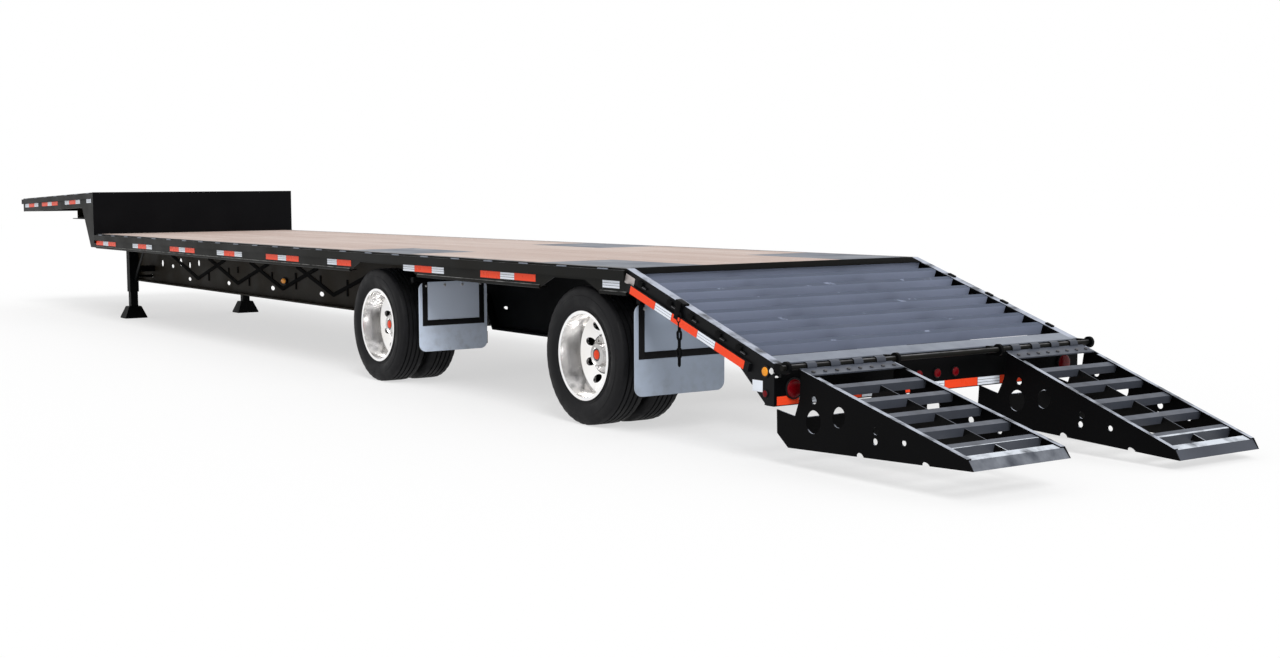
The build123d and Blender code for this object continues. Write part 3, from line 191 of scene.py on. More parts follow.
class EffectLibrary:
    """Builds each shared node group once and hands it out."""

    groups: ClassVar[dict[Effect, NodeTree]] = {}

    @classmethod
    def get(cls, effect: Effect) -> NodeTree:
        """Give the node group of an effect.

        Args:
            effect: The effect wanted.

        Returns:
            Its node group, built on the first call.
        """
        if effect not in cls.groups:
            makers = {Effect.MOTTLE: cls._mottle, Effect.DUST: cls._dust, Effect.STREAKS: cls._streaks,
                      Effect.GRIT: cls._grit}
            cls.groups[effect] = makers[effect]()
        return cls.groups[effect]

    @staticmethod
    def _start(effect: Effect, inputs: Sequence[tuple[str, object]], output: str,
               ) -> tuple[Graph, bpy.types.NodeOutputs, NodeSocket]:
        """Start a group with named sockets.

        Args:
            effect: The effect that it makes.
            inputs: Rows of socket name and default value, a vector where that is no number.
            output: Name of its one output.

        Returns:
            The graph of the group, its inputs and the socket that takes its result.
        """
        group = bpy.data.node_groups.new(effect.value, "ShaderNodeTree")
        for label, value in inputs:
            kind = "NodeSocketFloat" if isinstance(value, float) else "NodeSocketVector"
            socket = group.interface.new_socket(name=label, in_out="INPUT", socket_type=kind)
            if value is not None:
                socket.default_value = value
        group.interface.new_socket(name=output, in_out="OUTPUT", socket_type="NodeSocketFloat")
        given = group.nodes.new("NodeGroupInput").outputs
        return Graph(group), given, group.nodes.new("NodeGroupOutput").inputs[output]

    @classmethod
    def _mottle(cls) -> NodeTree:
        """Make soft patches, as on paint that has weathered unevenly.

        Returns:
            The node group.
        """
        graph, given, mask = cls._start(
            Effect.MOTTLE, (("Position", None), ("Scale", 3.0), ("Low", 0.35), ("High", 0.7)), "Mask")
        noise = graph.noise(given["Position"], given["Scale"], detail=5.0)
        graph.feed(mask, graph.span(noise, start=given["Low"], end=given["High"]))
        return graph.tree

    @classmethod
    def _dust(cls) -> NodeTree:
        """Make a mask on faces turned upward, for settled dust and for painted light there: a pale painted
        sheen on most paints, a darker painted shade on the dovetail's treads.

        Returns:
            The node group.
        """
        graph, given, mask = cls._start(
            Effect.DUST, (("Position", None), ("Normal", None), ("Scale", 6.0), ("Amount", 0.5)), "Mask")
        upward = graph.node("SeparateXYZ", {"Vector": given["Normal"]}).outputs["Z"]
        level = graph.span(upward, start=0.6, end=0.98)
        noise = graph.noise(given["Position"], given["Scale"], detail=6.0)
        spread = graph.span(noise, start=0.3, end=0.65)
        upward_patches = graph.math("MULTIPLY", level, spread)
        graph.feed(mask, graph.math("MULTIPLY", upward_patches, given["Amount"]))
        return graph.tree

    @classmethod
    def _streaks(cls) -> NodeTree:
        """Make fine lines drawn out along one axis, for grain, rolling marks and brushing.

        Returns:
            The node group.
        """
        graph, given, mask = cls._start(
            Effect.STREAKS,
            (("Position", None), ("Stretch", (1.0, 1.0, 1.0)), ("Low", 0.35), ("High", 0.65)), "Mask")
        drawn = graph.node("VectorMath", {0: given["Position"], 1: given["Stretch"]}, operation="MULTIPLY")
        noise = graph.noise(drawn.outputs["Vector"], scale=1.0, detail=7.0, roughness=0.6)
        graph.feed(mask, graph.span(noise, start=given["Low"], end=given["High"]))
        return graph.tree

    @classmethod
    def _grit(cls) -> NodeTree:
        """Make the fine relief of sprayed paint, rubber or cast metal.

        Returns:
            The node group.
        """
        graph, given, height = cls._start(Effect.GRIT, (("Position", None), ("Scale", 200.0)), "Height")
        graph.feed(height, graph.noise(given["Position"], given["Scale"], detail=3.0))
        return graph.tree


class Surface(Graph):
    """Node tree of one material, built around a Principled shader."""

    def __init__(self, name: str) -> None:
        """Start a material.

        Args:
            name: The material's name.
        """
        self.material = bpy.data.materials.new(name)
        self.material.use_nodes = True
        super().__init__(self.material.node_tree)
        self.tree.nodes.clear()
        self.shader = self.node("BsdfPrincipled")
        self.node("OutputMaterial", {"Surface": self.shader.outputs["BSDF"]})
        coords = self.node("TexCoord").outputs
        self.position = coords["Object"]
        self.normal = coords["Normal"]

    def put(self, socket: str, value: object) -> None:
        """Set or link one of the shader's sockets.

        Args:
            socket: The socket's name.
            value: A node socket to link, or a constant.
        """
        self.feed(self.shader.inputs[socket], value)

    def along(self, axis: str) -> NodeSocket:
        """Give the place along one axis, in metres.

        Args:
            axis: The axis, X, Y or Z.

        Returns:
            The value socket.
        """
        return self.node("SeparateXYZ", {"Vector": self.position}).outputs[axis]

    def effect(self, effect: Effect, **values: object) -> NodeSocket:
        """Place a shared effect.

        Args:
            effect: Which effect.
            **values: Its own input values.

        Returns:
            The effect's output socket.
        """
        given = {"Position": self.position, **values}
        if effect is Effect.DUST:
            given["Normal"] = self.normal
        return self.node("Group", given, node_tree=EffectLibrary.get(effect)).outputs[0]

    def mix(self, mask: NodeSocket, first: object, second: object) -> NodeSocket:
        """Blend two colours by a mask.

        Args:
            mask: Where the second colour shows.
            first: A colour or a colour socket.
            second: A colour or a colour socket.

        Returns:
            The blended colour socket.
        """
        return self.node("Mix", {0: mask, 6: first, 7: second}, data_type="RGBA").outputs[2]

    def relief(self, height: NodeSocket, strength: float, depth: float) -> None:
        """Raise the surface by a height map.

        Args:
            height: The height socket.
            strength: How much of the relief shows.
            depth: Depth of the relief in metres.
        """
        bump = self.node("Bump", {"Height": height, "Strength": strength, "Distance": depth})
        self.put("Normal", bump.outputs["Normal"])


@dataclass(frozen=True)
class Finish:
    """A finish that pieces share: a name and one material made from it."""

    name: str
    slot: str

    made: ClassVar[dict[str, Material]] = {}

    def material(self) -> Material:
        """Give the finish's material, built on the first call.

        Returns:
            The material.
        """
        if self.name not in Finish.made:
            surface = Surface(self.name)
            self.build(surface)
            Finish.made[self.name] = surface.material
        return Finish.made[self.name]

    def build(self, surface: Surface) -> None:
        """Fill in the node tree.

        Args:
            surface: The material under construction.
        """
        raise NotImplementedError


@dataclass(frozen=True)
class Paint(Finish):
    """Sprayed paint on steel, with patches, a fine orange peel and a tone on faces turned upward that is
    partly settled dust and partly painted sheen.
    """

    colour: Colour
    patch: Colour
    dust: Colour
    dust_and_sheen_amount: float
    roughness: tuple[float, float]
    specular: float
    peel: float = 0.0004

    def build(self, surface: Surface) -> None:
        """Fill in the node tree.

        Args:
            surface: The material under construction.
        """
        mottle = surface.effect(Effect.MOTTLE, Scale=2.5, Low=0.35, High=0.7)
        surface.put("Base Color", self.coats(surface, mottle))
        surface.put("Roughness", surface.span(mottle, *self.roughness))
        surface.put("Specular IOR Level", self.specular)
        surface.relief(surface.effect(Effect.GRIT, Scale=160.0), strength=0.35, depth=self.peel)

    def coats(self, surface: Surface, mottle: NodeSocket) -> NodeSocket:
        """Lay the colours over one another.

        Args:
            surface: The material under construction.
            mottle: Mask of the weathered patches.

        Returns:
            The colour socket.
        """
        # Faces turned upward take a colour that is partly settled dust and partly painted sheen
        dust = surface.effect(Effect.DUST, Scale=9.0, Amount=self.dust_and_sheen_amount)
        return surface.mix(dust, surface.mix(mottle, self.colour, self.patch), self.dust)


@dataclass(frozen=True)
class EdgedPaint(Paint):
    """Paint with a painted highlight on faces turned upward that lie beyond a plane."""

    # Colour of the painted highlight
    edge: Colour = (0.4, 0.42, 0.48)
    normal: Point = (0.0, 0.0, 1.0)
    level: float = 0.0

    def coats(self, surface: Surface, mottle: NodeSocket) -> NodeSocket:
        """Lay the painted highlight over the other colours.

        Args:
            surface: The material under construction.
            mottle: Mask of the weathered patches.

        Returns:
            The colour socket.
        """
        reach = surface.node("VectorMath", {0: surface.position, 1: self.normal}, operation="DOT_PRODUCT")
        beyond = surface.math("GREATER_THAN", reach.outputs["Value"], self.level)
        # Painted highlight: pale colour on upward faces beyond the plane
        painted_highlight = surface.math("MULTIPLY", surface.effect(Effect.DUST, Scale=9.0, Amount=1.6), beyond)
        return surface.mix(painted_highlight, super().coats(surface, mottle), self.edge)


@dataclass(frozen=True)
class RampPaint(EdgedPaint):
    """Ramp paint with a painted highlight on the toe and black on the faces turned sideways."""

    side: Colour = (0.003, 0.003, 0.003)
    side_from: float = 0.7

    def coats(self, surface: Surface, mottle: NodeSocket) -> NodeSocket:
        """Lay black on the sideways faces over the other colours.

        Args:
            surface: The material under construction.
            mottle: Mask of the weathered patches.

        Returns:
            The colour socket.
        """
        across = surface.node("SeparateXYZ", {"Vector": surface.normal}).outputs["Y"]
        sideways = surface.math("GREATER_THAN", surface.math("ABSOLUTE", across), self.side_from)
        return surface.mix(sideways, super().coats(surface, mottle), self.side)


@dataclass(frozen=True)
class WebPaint(Paint):
    """Paint of the long beams: brown that stands for sunlit black paint, painted light, ahead of a place
    along the trailer, and near black painted shadow behind it.
    """

    # Near black painted shadow on the webs behind the start
    rear: Colour = (0.002, 0.002, 0.002)
    start: float = 0.0

    def coats(self, surface: Surface, mottle: NodeSocket) -> NodeSocket:
        """Lay the rear colour behind its start.

        Args:
            surface: The material under construction.
            mottle: Mask of the weathered patches.

        Returns:
            The colour socket.
        """
        # Painted shadow behind the start, under the deck between and behind the wheels
        behind = surface.math("LESS_THAN", surface.along("X"), self.start)
        return surface.mix(behind, super().coats(surface, mottle), self.rear)


@dataclass(frozen=True)
class Metal(Finish):
    """Bare or polished metal with drawn marks."""

    colour: Colour
    tarnish: Colour
    roughness: tuple[float, float]
    stretch: Point = (60.0, 60.0, 60.0)
    relief_depth: float = 0.0001

    def build(self, surface: Surface) -> None:
        """Fill in the node tree.

        Args:
            surface: The material under construction.
        """
        drawn = surface.effect(Effect.STREAKS, Stretch=self.stretch)
        surface.put("Base Color", self.tone(surface))
        surface.put("Metallic", 1.0)
        surface.put("Roughness", surface.span(drawn, *self.roughness))
        surface.relief(drawn, strength=0.1, depth=self.relief_depth)

    def tone(self, surface: Surface) -> NodeSocket:
        """Blend the metal with its tarnish.

        Args:
            surface: The material under construction.

        Returns:
            The colour socket.
        """
        mottle = surface.effect(Effect.MOTTLE, Scale=7.0, Low=0.4, High=0.75)
        return surface.mix(mottle, self.colour, self.tarnish)


@dataclass(frozen=True)
class Rim(Metal):
    """Polished wheel with painted shade and reflection darkening its barrel between its lip and its disc."""

    # Colour of the painted shade and reflection in the deep barrel
    barrel_shade: Colour = (0.88, 0.86, 0.83)
    # Places across the trailer
    lip: float = 1.15
    deep: float = 1.06
    disc: float = 1.01

    def tone(self, surface: Surface) -> NodeSocket:
        """Paint shade and reflection on the barrel between the lip and the disc.

        Args:
            surface: The material under construction.

        Returns:
            The colour socket.
        """
        reach = surface.math("ABSOLUTE", surface.along("Y"))
        masks = [surface.span(reach, start=start, end=self.deep) for start in (self.lip, self.disc)]
        patchy = surface.effect(Effect.MOTTLE, Scale=4.0, Low=0.2, High=0.6)
        mask = surface.math("MULTIPLY", surface.math("MULTIPLY", *masks), patchy)
        return surface.mix(mask, super().tone(surface), self.barrel_shade)


@dataclass(frozen=True)
class Rubber(Finish):
    """Black rubber with a dry bloom."""

    colour: Colour
    bloom: Colour
    roughness: tuple[float, float]

    def build(self, surface: Surface) -> None:
        """Fill in the node tree.

        Args:
            surface: The material under construction.
        """
        mottle = surface.effect(Effect.MOTTLE, Scale=11.0, Low=0.35, High=0.75)
        surface.put("Base Color", surface.mix(mottle, self.colour, self.bloom))
        surface.put("Roughness", surface.span(mottle, *self.roughness))
        surface.put("Specular IOR Level", 0.15)
        surface.relief(surface.effect(Effect.GRIT, Scale=420.0), strength=0.4, depth=0.0005)


@dataclass(frozen=True)
class Boards(Finish):
    """Hardwood boards laid lengthwise, each with its own tone, grain and butt joints."""

    colour: Colour
    pale: Colour
    dark: Colour
    pitch: float = 0.2
    board_length: float = 4.2
    # Shift of the butt joints from row to row and width of a joint, as shares of a board's length
    stagger: float = 0.377
    joint: float = 0.0016
    row_step: float = 17.0
    grain_share: float = 0.5
    fibre_share: float = 0.28

    def build(self, surface: Surface) -> None:
        """Fill in the node tree.

        Args:
            surface: The material under construction.
        """
        row = surface.math("FLOOR", surface.math("DIVIDE", surface.along("Y"), self.pitch))
        shift = surface.math("MULTIPLY", row, self.stagger)
        along = surface.math("ADD", surface.math("DIVIDE", surface.along("X"), self.board_length), shift)
        first = surface.math("MULTIPLY", row, self.row_step)
        plank = surface.math("ADD", first, surface.math("FLOOR", along))
        tone = surface.node("TexWhiteNoise", {"W": plank}, noise_dimensions="1D").outputs["Value"]
        grain = surface.effect(Effect.STREAKS, Stretch=(1.3, 46.0, 46.0), Low=0.3, High=0.7)
        fibre = surface.effect(Effect.STREAKS, Stretch=(7.0, 260.0, 260.0), Low=0.4, High=0.62)
        base = surface.mix(tone, self.colour, self.pale)
        base = surface.mix(surface.math("MULTIPLY", grain, self.grain_share), base, self.dark)
        base = surface.mix(surface.math("MULTIPLY", fibre, self.fibre_share), base, self.pale)
        joint = surface.math("LESS_THAN", surface.math("FRACT", along), self.joint)
        surface.put("Base Color", surface.mix(joint, base, self.dark))
        surface.put("Roughness", surface.span(grain, low=0.55, high=0.75))
        surface.relief(fibre, strength=0.3, depth=0.0012)


@dataclass(frozen=True)
class Lens(Finish):
    """Moulded lamp lens with fine prisms."""

    colour: Colour
    edge: Colour

    def build(self, surface: Surface) -> None:
        """Fill in the node tree.

        Args:
            surface: The material under construction.
        """
        prisms = surface.node("TexVoronoi", {"Vector": surface.position, "Scale": 160.0}).outputs["Distance"]
        surface.put("Base Color", surface.mix(prisms, self.colour, self.edge))
        mottle = surface.effect(Effect.MOTTLE, Scale=30.0)
        surface.put("Roughness", surface.span(mottle, low=0.12, high=0.24))
        surface.put("Specular IOR Level", 0.12)
        surface.relief(prisms, strength=0.4, depth=0.0008)


@dataclass(frozen=True)
class Sheeting(Finish):
    """Reflective sheeting with a faint cell pattern."""

    colour: Colour
    cell: Colour

    def build(self, surface: Surface) -> None:
        """Fill in the node tree.

        Args:
            surface: The material under construction.
        """
        cells = {"Vector": surface.position, "Scale": 220.0}
        edge = surface.node("TexVoronoi", cells, feature="DISTANCE_TO_EDGE").outputs["Distance"]
        line = surface.span(edge, low=0.35, high=0.0)
        surface.put("Base Color", surface.mix(line, self.colour, self.cell))
        mottle = surface.effect(Effect.MOTTLE, Scale=20.0)
        surface.put("Roughness", surface.span(mottle, low=0.25, high=0.4))
        surface.put("Specular IOR Level", 0.1)


@dataclass(frozen=True)
class Panel(Finish):
    """Moulded plastic panel, dirtier towards its foot and lighter ahead of one place, where painted light
    brightens flaps that hang in shade.
    """

    colour: Colour
    dirt: Colour
    foot: float = 0.25
    head: float = 0.6
    # Painted light: a lighter colour ahead of one place, for flaps in the shade of the deck
    painted_light: Colour = (0.5, 0.55, 0.62)
    painted_light_from: float = 100.0

    def build(self, surface: Surface) -> None:
        """Fill in the node tree.

        Args:
            surface: The material under construction.
        """
        low = surface.span(surface.along("Z"), high=0.5, start=self.head, end=self.foot)
        specks = surface.effect(Effect.MOTTLE, Scale=14.0, Low=0.45, High=0.8)
        dirt = surface.math("MULTIPLY", low, specks)
        front = surface.math("GREATER_THAN", surface.along("X"), self.painted_light_from)
        base = surface.mix(front, self.colour, self.painted_light)
        surface.put("Base Color", surface.mix(dirt, base, self.dirt))
        surface.put("Roughness", surface.span(specks, low=0.35, high=0.55))
        surface.relief(surface.effect(Effect.GRIT, Scale=90.0), strength=0.2, depth=0.0004)


# Paints: name, slot, colour, patches, colour of dust and painted sheen on upward faces, amount of it,
# roughness from and to, specular level
BLACK = Paint("black_paint", "black_paint", shade(7, 8, 9), shade(11, 11, 12), shade(50, 50, 51), 0.3,
              (0.4, 0.55), 0.035)
BRACE_BLACK = Paint("brace_paint", "black_paint", shade(7, 7, 8), shade(11, 11, 11), shade(26, 26, 26), 0.2,
                    (0.7, 0.85), 0.02)
# Rail paint; its pale tone on upward faces is partly dust and partly a painted highlight along the rail tops
RAIL_COATS = (shade(15, 16, 15), shade(23, 22, 19), shade(110, 110, 112), 1.1, (0.38, 0.54), 0.06)
RAIL_BLACK = Paint("rail_paint", "black_paint", *RAIL_COATS)
# Painted highlight along the top of the rails' lower lip
LIP_BLACK = EdgedPaint("lip_paint", "black_paint", *RAIL_COATS, edge=shade(150, 150, 148),
                       normal=(0.0, 0.0, -1.0), level=-RAIL_LOW.z - LIP_HEIGHT)
# Brown that stands for sunlit black paint, painted light, with painted shadow behind the front axle
SUNLIT_WEB_BROWN = WebPaint("web_paint", "black_paint", shade(31, 28, 23), shade(39, 35, 29), shade(60, 56, 50), 0.4,
                     (0.45, 0.65), 0.04, rear=shade(5, 6, 7), start=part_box("axle_front")[0].x)
GLOSS_BLACK = Paint("gloss_black", "black_paint", shade(6, 6, 8), shade(10, 10, 12), shade(30, 30, 34), 0.2,
                    (0.24, 0.36), 0.06)
# Ramp side plates; the pale colour on their upward faces is a painted sheen on the top edges
EDGED_BLACK = Paint("edged_black", "black_paint", shade(6, 6, 7), shade(10, 10, 11), shade(170, 175, 186),
                    1.6, (0.4, 0.56), 0.03)
# Dovetail sides with a painted sheen on the top flange, beyond the plane of SLOPE_EDGE
SLOPE_BLACK = EdgedPaint("slope_black", "black_paint", shade(10, 11, 13), shade(16, 17, 19),
                         shade(44, 45, 46), 0.6, (0.36, 0.52), 0.08, edge=shade(168, 174, 188),
                         normal=SLOPE_NORMAL, level=SLOPE_EDGE)
# Dovetail bars: the darker colour on upward faces is painted shade on the treads, keeping them darker than
# the risers
TREAD_GREY = Paint("tread_grey", "tread_paint", shade(128, 136, 157), shade(123, 131, 151),
                   shade(77, 85, 102), 8.0, (0.5, 0.65), 0.08)
# Ramp treads and leaves with a painted highlight on the toe
RAMP_GREYS = {
    side: RampPaint(f"ramp_grey_{side}", "tread_paint", shade(68, 72, 81), shade(60, 63, 71),
                    shade(92, 97, 108), 0.8, (0.36, 0.52), 0.15, edge=shade(202, 208, 217),
                    normal=(-1.0, 0.0, 0.0), level=-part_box(f"ramp_treads_{side}")[0].x - TOE_LENGTH)
    for side, _ in SIDES}
# Pale grey of the dovetail lip and of the painted highlights over the rub rail spools
EDGE_GREY = Paint("edge_grey", "tread_paint", shade(120, 126, 138), shade(108, 114, 126),
                  shade(134, 141, 153), 0.6, (0.36, 0.52), 0.2)
COVER_GREY = Paint("cover_grey", "cover_steel", shade(91, 97, 108), shade(82, 88, 99), shade(116, 122, 133),
                   0.5, (0.4, 0.6), 0.25)
WOOD = Boards("deck_boards", "wood", shade(190, 168, 158), shade(208, 192, 184), shade(146, 122, 110))

# Metals: name, slot, colour, tarnish, roughness from and to, stretch of the drawn marks
# Polished rims with painted shade and reflection in the deep barrel
POLISHED = Rim("polished_rim", "polished", (0.97, 0.96, 0.95), (0.88, 0.88, 0.9), (0.16, 0.28),
               (9.0, 9.0, 9.0))
BARE_STEEL = Metal("bare_steel", "bright_steel", (0.55, 0.55, 0.56), (0.4, 0.39, 0.38), (0.3, 0.5))
DARK_STEEL = Metal("dark_steel", "bright_steel", (0.12, 0.12, 0.13), (0.08, 0.08, 0.08), (0.4, 0.6))
CHROME = Metal("chrome_nut", "polished", (0.8, 0.8, 0.8), (0.5, 0.5, 0.51), (0.06, 0.16), (14.0, 14.0, 14.0))
HUB_METAL = Metal("hub_cap_metal", "polished", (0.62, 0.61, 0.6), (0.34, 0.33, 0.33), (0.12, 0.3),
                  (14.0, 14.0, 14.0))
CAST = Metal("cast_hub", "hub", (0.5, 0.5, 0.5), (0.36, 0.35, 0.35), (0.3, 0.5))

# Rubbers and plastics: name, slot, colour and second colour
TYRE = Rubber("tyre_rubber", "tyre", shade(16, 16, 18), shade(26, 26, 28), (0.5, 0.75))
BELLOWS = Rubber("bellows_rubber", "air_spring", shade(18, 18, 20), shade(28, 28, 30), (0.5, 0.7))
BAND_RUBBER = Rubber("band_rubber", "flap", shade(10, 10, 12), shade(18, 18, 20), (0.45, 0.65))
# Flaps with painted light on the front ones, which hang in shade
FLAP = Panel("flap_panel", "flap", shade(158, 169, 185), shade(120, 123, 126), painted_light=shade(205, 217, 235),
             painted_light_from=FLAP_SPLIT)
BLANK_PLATE = Panel("blank_plate", "flap", shade(176, 168, 166), shade(120, 116, 114), 0.0, 2.0)
RED_LENS = Lens("red_lens", "red_lens", shade(88, 2, 10), shade(112, 4, 14))
AMBER_LENS = Lens("amber_lens", "amber_lens", shade(224, 128, 18), shade(245, 170, 60))
RED_TAPE = Sheeting("red_sheeting", "red_lens", shade(240, 66, 30), shade(246, 88, 54))
WHITE_TAPE = Sheeting("white_sheeting", "flap", shade(222, 228, 238), shade(240, 244, 250))


class Form:
    """Mesh under construction, gathered from bevelled bars, turned rings and swept links."""

    def __init__(self) -> None:
        """Start an empty form."""
        self.bm = bmesh.new()
        self.finishes: list[Finish] = []

    def _index(self, finish: Finish) -> int:
        """Give the material index of a finish, adding it on first use.

        Args:
            finish: The finish.

        Returns:
            Its index.
        """
        if finish not in self.finishes:
            self.finishes.append(finish)
        return self.finishes.index(finish)

    def _skin(self, rings: list[list[bmesh.types.BMVert]], finish: Finish, closed: bool) -> None:
        """Join a round of vertex rows with faces.

        Args:
            rings: Rows of vertices, the last of which joins the first.
            finish: Finish of the faces.
            closed: Whether the last vertex of a row joins its first.
        """
        index = self._index(finish)
        count = len(rings[0])
        for here, there in zip(rings, rings[1:] + rings[:1]):
            for i in range(count if closed else count - 1):
                j = (i + 1) % count
                self.bm.faces.new((here[i], there[i], there[j], here[j])).material_index = index

    def bar(self, centre: Sequence[float], size: Sequence[float], finish: Finish, edge: float = 0.0015,
            place: Optional[Matrix] = None) -> None:
        """Add a bar with eased edges.

        Args:
            centre: Middle of the bar.
            size: Lengths along X, Y and Z.
            finish: Its finish.
            edge: Width of the eased edges, 0 for none.
            place: Frame that the centre and size are given in.
        """
        matrix = (place or Matrix.Identity(4)) @ Matrix.Translation(centre) @ Matrix.Diagonal((*size, 1.0))
        verts = bmesh.ops.create_cube(self.bm, size=1.0, matrix=matrix)["verts"]
        index = self._index(finish)
        for face in {face for vert in verts for face in vert.link_faces}:
            face.material_index = index
        if edge > 0.0:
            edges = list({side for vert in verts for side in vert.link_edges})
            bmesh.ops.bevel(self.bm, geom=edges, offset=edge, segments=2, affect="EDGES", profile=0.7)

    def turned(self, profile: Sequence[tuple[float, float]], finish: Finish, place: Matrix,
               steps: int = 32) -> list[list[bmesh.types.BMVert]]:
        """Add a solid of revolution.

        Args:
            profile: Points of radius and distance along the axis.
            finish: Its finish.
            place: Frame whose Z is the axis.
            steps: Number of steps round.

        Returns:
            The rows of vertices, one a step.
        """
        rings = []
        for step in range(steps):
            turn = 2.0 * math.pi * step / steps
            rings.append([self.bm.verts.new(place @ Vector((r * math.cos(turn), r * math.sin(turn), h)))
                          for r, h in profile])
        self._skin(rings, finish, False)
        axis = [vert for ring in rings for vert, (radius, _) in zip(ring, profile) if radius == 0.0]
        if axis:
            bmesh.ops.remove_doubles(self.bm, verts=axis, dist=1e-6)
        return rings

    def link(self, points: Sequence[Sequence[float]], radius: float, finish: Finish, sides: int = 8) -> None:
        """Sweep a round wire along a closed line.

        Args:
            points: The line that the wire follows.
            radius: The wire's radius.
            finish: Its finish.
            sides: Sides of its section.
        """
        line = [Vector(point) for point in points]
        rings = []
        side = None
        for behind, point, ahead in zip(line[-1:] + line[:-1], line, line[1:] + line[:1]):
            run = (ahead - behind).normalized()
            side = side or run.orthogonal().normalized()
            side = (side - run * side.dot(run)).normalized()
            other = run.cross(side)
            turns = (2.0 * math.pi * k / sides for k in range(sides))
            rings.append([self.bm.verts.new(point + radius * (side * math.cos(turn) + other * math.sin(turn)))
                          for turn in turns])
        self._skin(rings, finish, True)

    def nut(self, place: Matrix, size: float, height: float, finish: Finish) -> None:
        """Add a chamfered hexagon nut or bolt head.

        Args:
            place: Frame whose Z stands out of the surface.
            size: Half the width across corners.
            height: Height of the nut.
            finish: Its finish.
        """
        profile = [(0.0, height), (0.72 * size, height), (size, 0.8 * height), (size, 0.0), (0.0, 0.0)]
        self.turned(profile, finish, place, 6)

    def piece(self, name: str, body: str, smooth: float = 40.0, replaces: Sequence[str] = ()) -> None:
        """Turn the form into a piece that rides on a body.

        Args:
            name: The piece's name.
            body: The CAD body that it rides on.
            smooth: Angle in degrees below which edges shade smooth.
            replaces: CAD nodes that the piece stands for.
        """
        bmesh.ops.recalc_face_normals(self.bm, faces=self.bm.faces)
        mesh = bpy.data.meshes.new(name)
        self.bm.to_mesh(mesh)
        self.bm.free()
        for polygon in mesh.polygons:
            polygon.use_smooth = True
        mesh.set_sharp_from_angle(angle=math.radians(smooth))
        for finish in self.finishes:
            mesh.materials.append(finish.material())
        piece = bpy.data.objects.new(name, mesh)
        bpy.context.scene.collection.objects.link(piece)
        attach(piece, body)
        if replaces:
            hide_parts(*replaces)
        LOG.info("%s: %d faces on %s", name, len(mesh.polygons), body)


def facing(point: Sequence[float], direction: Sequence[float]) -> Matrix:
    """Give a frame at a point whose Z runs along a direction.

    Args:
        point: Origin of the frame.
        direction: Direction of its Z axis.

    Returns:
        The frame as a matrix.
    """
    return Matrix.Translation(point) @ Vector(direction).to_track_quat("Z", "Y").to_matrix().to_4x4()


def around(place: Matrix, radius: float, height: float, count: int, start: float = 0.0) -> list[Matrix]:
    """Give frames spaced evenly round an axis.

    Args:
        place: Frame whose Z is the axis.
        radius: Radius of the circle.
        height: Height of the circle along the axis.
        count: Number of frames.
        start: Place of the first one, in steps.

    Returns:
        The frames.
    """
    turns = (2.0 * math.pi * (index + start) / count for index in range(count))
    return [place @ Matrix.Translation((radius * math.cos(t), radius * math.sin(t), height)) for t in turns]


def middle(node: str) -> Point:
    """Give the middle of a CAD node's box.

    Args:
        node: The node's name.

    Returns:
        The middle.
    """
    return tuple((low + high) / 2 for low, high in zip(*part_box(node)))


@dataclass(frozen=True)
class Datum:
    """Places on the CAD frame that the fittings are set out from."""

    kink: float
    drop: float
    nose: float
    deck: float
    upper: float
    face: float
    half_width: float
    hinge: Point
    rear_face: float
    rear_low: float
    wheel_radius: float
    dual_y: float
    axles: dict[str, float]
    fall: float

    @classmethod
    def read(cls) -> "Datum":
        """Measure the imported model.

        Returns:
            The places found.
        """
        upper_low, upper_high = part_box("upper_rail_left")
        rear_low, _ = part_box("rear_frame")
        bolster_low, bolster_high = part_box("nose_bolster")
        return cls(
            kink=RAIL_LOW.x, drop=RAIL_HIGH.x, nose=upper_high.x, deck=RAIL_HIGH.z, upper=upper_high.z,
            face=upper_high.y, half_width=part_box("hinge_rod")[1].y, hinge=middle("hinge_rod"),
            rear_face=rear_low.x, rear_low=rear_low.z, wheel_radius=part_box("tyres_front_left")[1].z / 2,
            dual_y=middle("tyres_front_left")[1],
            axles={place: middle(f"axle_{place}")[0] for place in PLACES},
            fall=math.atan2(upper_high.z - bolster_high.z, bolster_low.x - upper_low.x))

    def on_slope(self) -> Matrix:
        """Give the dovetail's frame: X forward and up along the slope from the kink, Z out of it."""
        return Matrix.Translation((self.kink, 0.0, self.deck)) @ Matrix.Rotation(-SLOPE, 4, "Y")

    def on_upper(self) -> Matrix:
        """Give the upper deck's frame: X forward and down from the step, Z out of the deck."""
        return Matrix.Translation((self.drop, 0.0, self.upper)) @ Matrix.Rotation(self.fall, 4, "Y")

    def decks(self) -> tuple[tuple[float, Matrix], ...]:
        """Give the length and the frame of the main deck, then of the upper deck."""
        level = Matrix.Translation((self.kink, 0.0, self.deck))
        return (self.drop - self.kink, level), (self.nose - self.drop, self.on_upper())


class Stripe(Enum):
    """Colours of reflective sheeting."""

    RED = "R"
    WHITE = "W"


